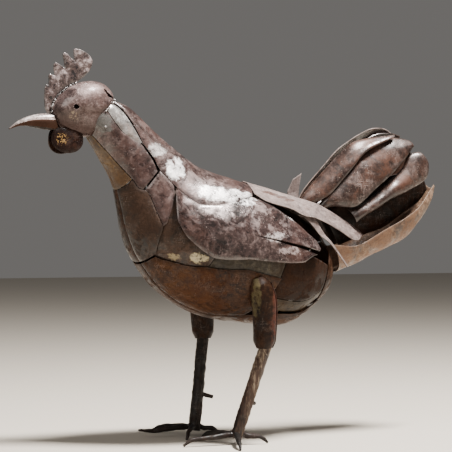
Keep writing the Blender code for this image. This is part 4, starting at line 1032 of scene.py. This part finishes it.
def build_body():
    """The plates from the throat to the rump, and those that cross from side to side."""
    for word, side in SIDES:
        for number, (name, *rest) in enumerate(SIDE_PLATES):
            plate(name + word, side, *rest, SIDE_SEEDS[word] + 3 + number)
    for row in LOW_PLATES:
        plate(*row, lift=UNDERLAP)

    def lower(first, last):
        def point(t, s):
            across = 2 * s - 1
            u = first + (last - first) * inset(t)
            side = np.where(across < 0, LEFT, RIGHT)
            return skin(u, 180 - (180 - along(KEEL_EDGE, u) - 0.8) * np.abs(across), side)
        return point

    def croup(t, s):
        across = 2 * s - 1
        left = across < 0
        reach = np.where(left, CROUP_REACH[LEFT], CROUP_REACH[RIGHT])
        u = CROUP_START + (1.0 - CROUP_START) * inset(t)
        return skin(u, reach * np.abs(across), np.where(left, LEFT, RIGHT), UNDERLAP)

    strip = lower(0.243, 0.512)
    sheet("breast_strip", strip, grid_counts(strip), (-1, 0, -0.4), SHEET, "belly_rust", seed=61)
    keel = lower(0.515, 1.0)
    sheet("keel_plate", keel, grid_counts(keel, WIDE_GRID), (0, 0, -1), SHEET, "belly_rust", seed=62)
    # The croup takes the painted-shade look, dark in its gap under the strips.
    sheet("croup_plate", croup, grid_counts(croup, WIDE_GRID), (0.3, 0, 1), SHEET, "dark_steel", seed=63)


def build_rump_cap():
    """The domed sheet that closes the body behind, on a square grid drawn out to a disc."""
    rear = spline(RINGS, 1.0)
    middle = np.array(((rear[0] + rear[2]) / 2, 0, (rear[1] + rear[3]) / 2)) * UNIT
    span = np.array((rear[0] - rear[2], 0, rear[1] - rear[3]))
    facing = np.array((span[2], 0, -span[0])) / np.linalg.norm(span)

    def point(t, s):
        x = 2 * t - 1
        y = 2 * s - 1
        dx = x * np.sqrt(1 - y * y / 2)
        dy = y * np.sqrt(1 - x * x / 2)
        radius = np.minimum(np.hypot(dx, dy), 1.0)
        angle = np.degrees(np.arctan2(np.abs(dx), dy))
        rim = skin(1.0, angle, np.where(dx < 0, LEFT, RIGHT), UNDERLAP)
        dome = RUMP_DOME * (1 - radius ** 2.4)
        return middle + (rim - middle) * radius[..., None] + facing * (dome + SEAM)[..., None]

    sheet("rump_cap", point, (40, 40), facing, SHEET, "belly_rust", seed=64)


def head_axes():
    """The pole of the head's grid, which looks away from the neck, and two directions across it."""
    _, normal = head_joint()
    c = math.cos(HEAD_PITCH)
    s = math.sin(HEAD_PITCH)
    a, _, h = HEAD_SEMI_AXES
    pole = -unit(np.array(((c * normal[0] + s * normal[2]) * a, 0, (-s * normal[0] + c * normal[2]) * h)))
    side = np.array((0.0, 1.0, 0.0))
    return pole, side, np.cross(pole, side)


def head_place(axes, polar, turn):
    """Points of the head surface at an angle from the pole and a turn round it."""
    pole, side, third = axes
    sideways = side * np.cos(turn)[..., None] + third * np.sin(turn)[..., None]
    return head_point(pole * np.cos(polar)[..., None] + sideways * np.sin(polar)[..., None])


def head_rim(axes, turn):
    """The angle from the pole at which the head meets the plane of the neck joint."""
    point, normal = head_joint()
    low = np.full(turn.shape, math.radians(60))
    high = np.full(turn.shape, math.radians(170))
    for _ in range(24):
        middle = (low + high) / 2
        out = (head_place(axes, middle, turn) - point) @ normal > 0
        high = np.where(out, middle, high)
        low = np.where(out, low, middle)
    return low


def jawed(places, t, turn, up):
    """Opens the head's rim onto the neck plates and lets its underside sink to a jaw."""
    flare = RIM_FLARE[0] * (1 + up * np.sin(turn)) + RIM_FLARE[1] * np.cos(turn) ** 2
    late = eased((t - RIM_START) / (1 - RIM_START))
    places = HEAD_MIDDLE + (places - HEAD_MIDDLE) * (1 + flare * late)[..., None]
    high, low = (level * UNIT for level in JAW_LEVELS)
    sunk = eased((high - places[..., 2]) / (high - low))
    back = np.clip((places[..., 0] / UNIT - JAW_FRONT) / JAW_LENGTH, 0, 1)
    drop = JAW_DROP[0] + (JAW_DROP[1] - JAW_DROP[0]) * back
    return places + np.stack((JAW_REACH * back * sunk, 0 * t, -drop * sunk), -1) * UNIT


def build_head():
    """The dome of the head, open to the neck, with its drilled eyes and a torn slot at the back."""
    axes = head_axes()
    eye = np.array(EYE_CENTRE) * UNIT
    slot = np.array(HEAD_SLOT) * UNIT

    def point(t, s):
        turn = s * 2 * math.pi
        places = head_place(axes, t * head_rim(axes, turn), turn)
        places = jawed(places, t, turn, np.sign(axes[2][2]))
        flat = places[..., (0, 2)] - eye
        far = np.linalg.norm(flat, axis=-1)
        pull = np.clip(1 - np.abs(far - EYE_RADIUS) / EYE_RIM, 0, 1)
        shift = (EYE_RADIUS - far) * pull / np.maximum(far, 1e-9)
        places[..., (0, 2)] += flat * shift[..., None]
        return places

    def hole(t, s):
        middle = point(t, s)
        flat = middle[..., (0, 2)]
        drilled = np.linalg.norm(flat - eye, axis=-1) < EYE_RADIUS * 0.92
        gap = np.full(t.shape, 1.0)
        for here, there in zip(slot[:-1], slot[1:]):
            gap = np.minimum(gap, far_from_line(flat, here, there))
        ragged = noise_at(middle, 0.003, 7) * 0.0007
        return drilled | ((gap < HEAD_SLOT_WIDTH / 2 + ragged) & (middle[..., 1] < 0))

    sheet("head_shell", point, (84, 170), lambda t, s, places: places - HEAD_MIDDLE, SHEET, "head",
          dent=0.0006, tuck=0.0003, seed=1, hole=hole, tucked=(True, False), closed=True)


def far_from_line(flat, here, there):
    """Distance of flat points from the line between two points."""
    line = there - here
    share = np.clip((flat - here) @ line / (line @ line), 0, 1)
    return np.linalg.norm(flat - here - share[..., None] * line, axis=-1)


def cut_plate(name, outline, y, thickness, puff, look, seed):
    """A plate cut to an outline in the upright plane, its middle fuller than its edges."""
    bm = bmesh.new()
    verts = [bm.verts.new((x * UNIT, y - thickness / 2, z * UNIT)) for x, z in outline]
    for here, there in zip(verts, verts[1:] + verts[:1]):
        bm.edges.new((here, there))
    face = bmesh.ops.contextual_create(bm, geom=bm.edges[:])["faces"]
    grown = bmesh.ops.extrude_face_region(bm, geom=face)["geom"]
    front = [v for v in grown if isinstance(v, bmesh.types.BMVert)]
    bmesh.ops.translate(bm, vec=(0, thickness, 0), verts=front)
    bmesh.ops.recalc_face_normals(bm, faces=bm.faces[:])
    mesh = bpy.data.meshes.new(name)
    bm.to_mesh(mesh)
    bm.free()
    mesh = remeshed(mesh, 0.0007, 3)
    places = mesh_places(mesh)
    corners = np.array(outline + outline[:1], float) * UNIT
    depth = np.full(len(places), 1e9)
    for here, there in zip(corners[:-1], corners[1:]):
        depth = np.minimum(depth, far_from_line(places[:, (0, 2)], here, there))
    swell = puff * (1 - np.exp(-depth / PUFF_WIDTH)) + noise_at(places, 0.012, seed) * puff * 0.35
    places[:, 1] += np.sign(places[:, 1] - y) * swell
    mesh.vertices.foreach_set("co", places.ravel())
    mark_rim(mesh, np.clip(depth / PUFF_WIDTH, 0, 1))
    return finished(linked(name, mesh), look, name)


def mesh_places(mesh):
    """Corner positions of a mesh as an array."""
    places = np.empty(len(mesh.vertices) * 3)
    mesh.vertices.foreach_get("co", places)
    return places.reshape(-1, 3)


def linked(name, mesh):
    """A new object in the scene."""
    item = bpy.data.objects.new(name, mesh)
    bpy.context.scene.collection.objects.link(item)
    return item


def remeshed(mesh, size, smooth):
    """The mesh rebuilt on even cells of the given size, then smoothed."""
    helper = linked("helper", mesh)
    step = helper.modifiers.new("remesh", "REMESH")
    step.mode = "VOXEL"
    step.voxel_size = size
    step.use_smooth_shade = True
    ease = helper.modifiers.new("ease", "SMOOTH")
    ease.factor = 0.5
    ease.iterations = smooth
    graph = bpy.context.evaluated_depsgraph_get()
    result = bpy.data.meshes.new_from_object(helper.evaluated_get(graph))
    bpy.data.objects.remove(helper, do_unlink=True)
    result.name = mesh.name
    for face in result.polygons:
        face.use_smooth = True
    return result


def build_comb():
    """The comb, cut from one plate, hammered fuller in its middle."""
    turns = np.radians(COMB_FOOT_TURNS)
    foot = head_point(np.stack((np.cos(turns), 0 * turns, np.sin(turns)), -1))
    foot = foot / UNIT + unit(foot - HEAD_MIDDLE) * COMB_FOOT_GAP
    outline = COMB_OUTLINE + tuple((p[0], p[2]) for p in foot)
    cut_plate("comb", outline, 0.0, COMB_SHEET, COMB_PUFF, "comb", 2)


def build_beak():
    """A folded, hooked upper sheet and a smaller trough-shaped one that closes its underside."""
    def upper(t, s):
        middle = spline(BEAK_RIDGE, t)
        across = 2 * s - 1
        depth = spline(BEAK_DEPTHS, t)[..., 0]
        width = spline(BEAK_WIDTHS, t)[..., 0]
        knots = np.linspace(0, 1, len(BEAK_SECTION))
        out = np.interp(np.abs(across), knots, [p[0] for p in BEAK_SECTION]) * np.sign(across)
        down = np.interp(np.abs(across), knots, [p[1] for p in BEAK_SECTION])
        x = middle[..., 0] + BEAK_LAP * down * (1 - t)
        return np.stack((x, width * out, middle[..., 1] - depth * down), -1) * UNIT

    def lower(t, s):
        middle = spline(JAW_KEEL, t)
        across = 2 * s - 1
        rise = spline(JAW_RISES, t)[..., 0] * across ** 2
        width = spline(JAW_WIDTHS, t)[..., 0]
        return np.stack((middle[..., 0], width * across, middle[..., 1] + rise), -1) * UNIT

    sheet("beak_upper", upper, (44, 24), lambda t, s, p: np.stack((0 * s, s - 0.5, 0.4 + 0 * s), -1),
          SHEET, "beak", dent=0.0002, tuck=0.0, seed=8)
    # The lower sheet takes the painted-shade look.
    sheet("beak_lower", lower, (26, 16), lambda t, s, p: np.stack((0 * s, s - 0.5, -0.4 + 0 * s), -1),
          SHEET, "dark_steel", dent=0.0002, tuck=0.0, seed=9)


def build_wattles():
    """Two dished and hammered lobes hanging under the jaw."""
    for word, side in SIDES:
        x, y, z = WATTLE_CENTRE

        def point(t, s):
            turn = s * 2 * math.pi
            across = t * np.cos(turn)
            upward = t * np.sin(turn)
            curl = WATTLE_CURL * np.maximum(-across, 0) ** 2
            dish = WATTLE_DISH * (1 - t ** 2) - WATTLE_TILT * upward - curl
            high = upward > 0
            squared = np.abs(across) ** WATTLE_SQUARE * np.sign(across) * t ** (1 - WATTLE_SQUARE)
            across = np.where(high, squared * (1 - WATTLE_TAPER * upward), across)
            lifted = np.maximum(upward, 0.0) ** WATTLE_SQUARE * t ** (1 - WATTLE_SQUARE)
            upward = np.where(high, lifted, upward)
            return np.stack((
                x * UNIT + across * WATTLE_WIDTH / 2,
                side * (y * UNIT + dish),
                z * UNIT + upward * WATTLE_HEIGHT / 2,
            ), -1)

        sheet("wattle_" + word, point, (16, 64), (0, side, 0), SHEET, "wattle",
              dent=0.0007, tuck=0.0008, seed=14 + side, tucked=(True, False), closed=True)


def ribbon_point(edge_a, edge_b, bulge, facing, side=LEFT, shift=(0, 0, 0)):
    """Surface of a free sheet between two smooth edges, bulging towards its outer side."""
    facing = unit(np.array(facing, float))
    mirror = np.array((1, -side, 1))

    def point(t, s):
        a = spline(edge_a, t)
        b = spline(edge_b, t)
        swell = bulge * 4 * s * (1 - s) * np.sin(math.pi * np.minimum(0.12 + 0.8 * t, 0.92)) ** 0.5
        return ((a + (b - a) * s[..., None] + facing * swell[..., None]) * mirror + np.array(shift)) * UNIT

    return point, facing * mirror


def build_saddle():
    """The long strips that run back over the tail root, and the small upright tab."""
    up_left = (0.2, -0.45, 0.85)
    for word, side, shift in (("left", LEFT, (0, 0, 0)), ("right", RIGHT, (0, 0, 3))):
        point, facing = ribbon_point(SADDLE_TOP, SADDLE_LOW, 2, up_left, side, shift)

        def torn(t, s):
            edge = noise_at(np.stack((s * 0.05, s * 0, s * 0), -1), 0.006, 3)
            return t > 0.985 + 0.013 * edge

        sheet("saddle_strip_" + word, point, grid_counts(point, 0.0022), facing, SHEET,
              "strip_tan", dent=0.0009, tuck=0.0, seed=71 + side, hole=torn)
    point, facing = ribbon_point(HACKLE_TOP, HACKLE_LOW, 0, (0.2, -0.9, 0.3))
    sheet("side_strip", point, grid_counts(point, 0.0016), facing, SHEET, "strip_tan",
          dent=0.0003, tuck=0.0, seed=75)
    cut_plate("back_tab", TAB_OUTLINE, TAB_OFFSET * UNIT, SHEET, 0.0, "strip_tan", 76)


def build_tail():
    """Two fans of four bent sheets each over one trough-shaped sheet."""
    for number, (name, (edge_a, edge_b)) in enumerate(TAIL_BLADES.items()):
        swell = TAIL_BULGE[name]
        for word, side in SIDES:
            shift = FAR_FAN_SHIFT if side == RIGHT and name != "tail_inner" else (0, 0, 0)
            first = FAR_TOP_EDGE if side == RIGHT and name == "tail_top" else edge_a
            point, facing = ribbon_point(first, edge_b, swell, (0, -1, 0), side, shift)
            feather = name + "_" + word
            sheet(feather, point, grid_counts(point), facing, FEATHER_SHEET,
                  TAIL_LOOKS.get(feather, "tail_rust"), dent=0.0010, tuck=0.0012,
                  seed=80 + number * 2 + side)

    def trough_point(t, s):
        keel_x, keel_z, rim_x, rim_z, width = (spline(TROUGH, t)[..., k] for k in range(5))
        bend = (2 * s - 1) * math.pi / 2
        climb = 1 - np.cos(bend)
        x = keel_x + (rim_x - keel_x) * climb
        z = keel_z + (rim_z - keel_z) * climb
        return np.stack((x, width * np.sin(bend), z), -1) * UNIT

    def trough_outward(t, s, places):
        return np.stack((0.3 + 0 * s, 2 * s - 1, -0.8 + 0 * s), -1)

    sheet("tail_trough", trough_point, grid_counts(trough_point, WIDE_GRID), trough_outward, FEATHER_SHEET,
          "trough", dent=0.0012, tuck=0.0, seed=95)


def tube_point(path, radius):
    """Surface of a round bar or pipe along path(t), with radius(t)."""
    def point(t, s):
        centre = path(t)
        ahead = unit(path(np.minimum(t + 0.01, 1.0)) - path(np.maximum(t - 0.01, 0.0)))
        side_way = unit(np.cross(ahead, np.broadcast_to((0.13, 0.99, 0.05), ahead.shape)))
        third = np.cross(ahead, side_way)
        turn = s * 2 * math.pi
        ring = side_way * np.cos(turn)[..., None] + third * np.sin(turn)[..., None]
        return centre + ring * radius(t)[..., None]
    return point


def bar(name, knots, radii, look, seed, rounds, step, rough=0.0004):
    """A solid bar through the knots, in metres, with closed ends and an uneven surface."""
    knots = np.asarray(knots, float)
    length = np.linalg.norm(np.diff(knots, axis=0), axis=1).sum()
    columns = max(int(length / step), 6)
    inner = np.linspace(0, 1, columns + 1)
    levels = np.concatenate(((0, 0, 0), inner, (1, 1, 1)))
    swell = np.concatenate(((0, 0.6, 0.93), np.ones(columns + 1), (0.93, 0.6, 0)))
    turns = np.linspace(0, 1, rounds + 1)
    t, s = np.meshgrid(levels, turns, indexing="ij")
    scale = np.broadcast_to(swell[:, None], t.shape)
    surface = tube_point(lambda v: spline(knots, v), lambda v: spline(radii, v)[..., 0] - rough)
    places = surface(t, s)
    centre = spline(knots, t)
    places = centre + (places - centre) * scale[..., None]
    lumps = noise_at(places, BAR_LUMP, seed) * rough * np.minimum(scale, 1)
    places += unit(places - centre) * lumps[..., None]
    mesh = bpy.data.meshes.new(name)
    mesh.from_pydata(places.reshape(-1, 3).tolist(), [], grid_faces(t.shape).reshape(-1, 4).tolist())
    tidy_mesh(mesh, solid=True)
    mark_rim(mesh, np.ones(len(mesh.vertices)))
    return finished(linked(name, mesh), look, name)


def build_thigh(word, side, line):
    """One thigh: a rolled sheet whose rear edge laps over its front one."""
    radii = np.array(THIGH_RADII) * UNIT

    def path(t):
        return spline(line, t)

    tube = tube_point(path, lambda t: np.interp(t, THIGH_LEVELS, radii))

    def point(t, s):
        rounded = tube(t, (THIGH_SEAM - side * THIGH_WRAP * (s - 0.5)) % 1.0)
        place, width, depth = THIGH_CREASE
        crease = np.exp(-((s - place) / width) ** 2) * depth
        return rounded + unit(rounded - path(t)) * (THIGH_LAP * (s - 0.5) - crease)[..., None]

    sheet("thigh_" + word, point, (52, 44), lambda t, s, places: places - path(t), THIGH_WALL, "thigh",
          dent=0.0010, tuck=0.0, seed=101 + side)


def build_shin(word, side, middle, mouth, foot, lean):
    """One shin, from inside the thigh to the foot, with a bend below the thigh's mouth."""
    inside = mouth + (middle - mouth) * SHIN_OVERLAP
    bend = mouth - np.array((0, 0, 0.001))
    knots = [inside + (bend - inside) * k for k in (0.0, 0.5, 1.0)]
    knots += [bend + (foot - lean * 0.0004 - bend) * k for k in (0.2, 0.4, 0.6, 0.8, 1.0)]
    # The right shin takes the near-black look of painted shade.
    look = "rod_left" if side == LEFT else "rod_steel"
    radii = (SHIN_RADIUS + SHIN_SCALE,) * len(knots)
    bar("shin_" + word, knots, radii, look, 111 + side, 44, 0.0016, 0.0007)


def build_spur(word, side, mouth, foot):
    """One spur on its shin. Returns where its weld goes."""
    share = (mouth[2] - SPUR_HEIGHT) / (mouth[2] - foot[2])
    root = mouth + (foot - mouth) * share
    way = np.array(SPUR_WAY[word])
    near = root + way * (SHIN_RADIUS + SPUR_GAP)
    knots = [near + way * SPUR_LENGTH * k for k in (0, 0.5, 1)]
    radii = (SPUR_RADIUS, SPUR_RADIUS * 0.95, SPUR_RADIUS * 0.85)
    bar("spur_" + word, knots, radii, "rod_steel", 115 + side, 18, 0.0015)
    return root + way * SHIN_RADIUS * 0.98


def build_toes(word, side, foot, lean):
    """The toes round the lower end of a shin. Returns where their welds go."""
    lumps = []
    for number, (toe, offsets) in enumerate(TOES[word].items()):
        ends = [np.array((dx, dy * -side, dz)) * UNIT + foot for dx, dy, dz in offsets]
        flat = unit((ends[0] - foot) * (1, 1, 0))
        base = foot - lean * TOE_ROOT_HEIGHT * UNIT
        base[2] = TOE_ROOT_HEIGHT * UNIT
        start = base + flat * (SHIN_RADIUS + TOE_GAP)
        steps = len(ends)
        radii = [TOE_RADIUS * (1 - 0.5 * (i / steps) ** 3) for i in range(steps + 1)]
        bar("toe_" + toe + "_" + word, [start] + ends, radii, "rod_steel", 121 + number * 2 + side, 20,
            0.002, 0.0006)
        lumps.append(base + flat * (SHIN_RADIUS + TOE_GAP * 0.4) + np.array((0, 0, 0.001)))
    return lumps


def build_legs():
    """Thighs, shins, spurs and toes, with the weld lumps that join them."""
    for word, side in SIDES:
        top, middle, mouth, foot = (np.array(knot, float) * UNIT for knot in LEGS[word])
        lean = unit(foot - mouth)
        build_thigh(word, side, np.array((top, middle, mouth)))
        build_shin(word, side, middle, mouth, foot, lean)
        lumps = [build_spur(word, side, mouth, foot)] + build_toes(word, side, foot, lean)
        weld("weld_foot_" + word, [lumps], FOOT_BEAD, "weld_dark", 131 + side, spread=0.0016, repeat=5)


def weld(name, lines, size, look, seed, spread=0.0, repeat=1):
    """Weld metal laid down drop by drop along lines of points."""
    bm = bmesh.new()
    count = 0
    for line in lines:
        for place in line:
            for k in range(repeat):
                count += 1
                spots = [Vector((count * 1.7, seed * 3.1, axis * 7.7)) for axis in range(4)]
                wobble = [noise.noise(spot) for spot in spots]
                scale = size * (1 + 0.35 * wobble[3])
                shape = Matrix.Translation(Vector(place) + Vector(wobble[:3]) * (spread + size * 0.35))
                bmesh.ops.create_icosphere(bm, subdivisions=2, radius=scale, matrix=shape)
    mesh = bpy.data.meshes.new(name)
    bm.to_mesh(mesh)
    bm.free()
    mesh = remeshed(mesh, BEAD_CELL, 2)
    mark_rim(mesh, np.ones(len(mesh.vertices)))
    return finished(linked(name, mesh), look)


def spaced(point, start, end, step):
    """Points about a step apart from start to end of a line point(share)."""
    shares = np.linspace(start, end, 60)
    track = np.array([point(v) for v in shares])
    run = np.concatenate(((0,), np.cumsum(np.linalg.norm(np.diff(track, axis=0), axis=1))))
    marks = np.arange(0, run[-1], step)
    return [np.array([np.interp(m, run, track[:, k]) for k in range(3)]) for m in marks]


def build_welds():
    """Beads at the comb and the head joint, and tacks along the seams of the plates."""
    def comb_foot(turn, y):
        radians = math.radians(turn)
        place = head_point(np.array((math.cos(radians), 0.0, math.sin(radians))))
        return place + np.array((0, y, 0)) + unit(place - HEAD_MIDDLE) * 0.0004

    for word, side in SIDES:
        line = spaced(lambda v: comb_foot(v, side * COMB_SHEET), *COMB_BEAD_ARC, 0.0021)
        bright = line[::5] + line[1::5]
        dark = line[2::5] + line[3::5] + line[4::5]
        weld("weld_comb_" + word, [bright], COMB_BEAD, "weld", 5 + side, spread=0.0010)
        weld("weld_comb_dark_" + word, [dark], COMB_BEAD_DARK, "weld_dark", 6 + side, spread=0.0010)

    def joint(angle, side, lift=0.0010):
        return skin(neck_start(angle, side) + 0.004, angle, side, lift)

    for word, side in SIDES:
        runs = [spaced(lambda v: joint(v, side), a, b, 0.0030) for a, b in HEAD_TACKS]
        weld("weld_head_" + word, runs, HEAD_BEAD, "weld", 9 + side)
        tacks = []
        for edge, places in SEAM_TACKS:
            for u, length in places:
                def seam(v):
                    return skin(v, float(along(edge, v)), side, -0.0002)

                tacks.append(spaced(seam, u, u + length, 0.0022))
        weld("weld_seams_" + word, tacks, SEAM_BEAD, "weld_dark", 15 + side)
    lump = np.array(CHEEK_WELD) * UNIT
    weld("weld_cheek", [[lump]], HEAD_BEAD, "weld", 19, spread=0.0009, repeat=4)


def aimed(item, target, way, distance):
    """Sets a lamp or a camera at a distance from its target, looking back at it."""
    item.location = target + way * distance
    item.rotation_euler = way.to_track_quat("Z", "Y").to_euler()


def build_studio():
    """Pale floor, soft lights and the camera at the photograph's viewing angle."""
    half = FLOOR_HALF
    corners = [(-half, -half, 0), (half, -half, 0), (half, half, 0), (-half, half, 0)]
    floor_mesh = bpy.data.meshes.new("floor")
    floor_mesh.from_pydata(corners, [], [(0, 1, 2, 3)])
    floor = linked("floor", floor_mesh)
    paint = Shader("floor_paint")
    paint.surface.inputs["Base Color"].default_value = FLOOR_COLOUR
    paint.surface.inputs["Roughness"].default_value = FLOOR_ROUGHNESS
    floor.data.materials.append(paint.material)

    world = bpy.data.worlds.new("studio")
    bpy.context.scene.world = world
    world.use_nodes = True
    sky = world.node_tree.nodes["Background"]
    sky.inputs["Color"].default_value = SKY_COLOUR
    sky.inputs["Strength"].default_value = SKY_STRENGTH

    for name, way, distance, size, power, colour in LIGHTS:
        lamp = bpy.data.lights.new(name, "AREA")
        lamp.size = size
        lamp.energy = power
        lamp.color = colour
        aimed(linked(name, lamp), Vector((0, 0, LIGHT_TARGET)), Vector(way).normalized(), distance)

    lens = bpy.data.cameras.new("camera")
    lens.sensor_width = SENSOR
    lens.lens = SENSOR * CAMERA_DISTANCE / (PHOTO_SIDE * CAMERA_SCALE)
    lens.clip_end = 100
    camera = linked("camera", lens)
    azimuth = math.radians(CAMERA_AZIMUTH)
    way = Vector((math.sin(azimuth), -math.cos(azimuth), 0.0))
    aimed(camera, ORIGIN + Vector((0, 0, CAMERA_TARGET)), way, CAMERA_DISTANCE)
    bpy.context.scene.camera = camera


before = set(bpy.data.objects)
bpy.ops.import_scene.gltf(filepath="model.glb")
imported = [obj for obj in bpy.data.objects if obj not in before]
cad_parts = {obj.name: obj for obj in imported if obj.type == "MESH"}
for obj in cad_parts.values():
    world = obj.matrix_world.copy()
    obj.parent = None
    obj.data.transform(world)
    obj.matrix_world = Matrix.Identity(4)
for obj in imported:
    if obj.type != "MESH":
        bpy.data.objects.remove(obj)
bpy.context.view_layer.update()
ORIGIN = model_place()
LOOK = {name: steel(name, **values) for name, values in STEELS.items()}
build_head()
build_comb()
build_beak()
build_wattles()
build_neck()
build_body()
build_rump_cap()
build_wings()
build_saddle()
build_tail()
build_legs()
build_welds()
build_studio()
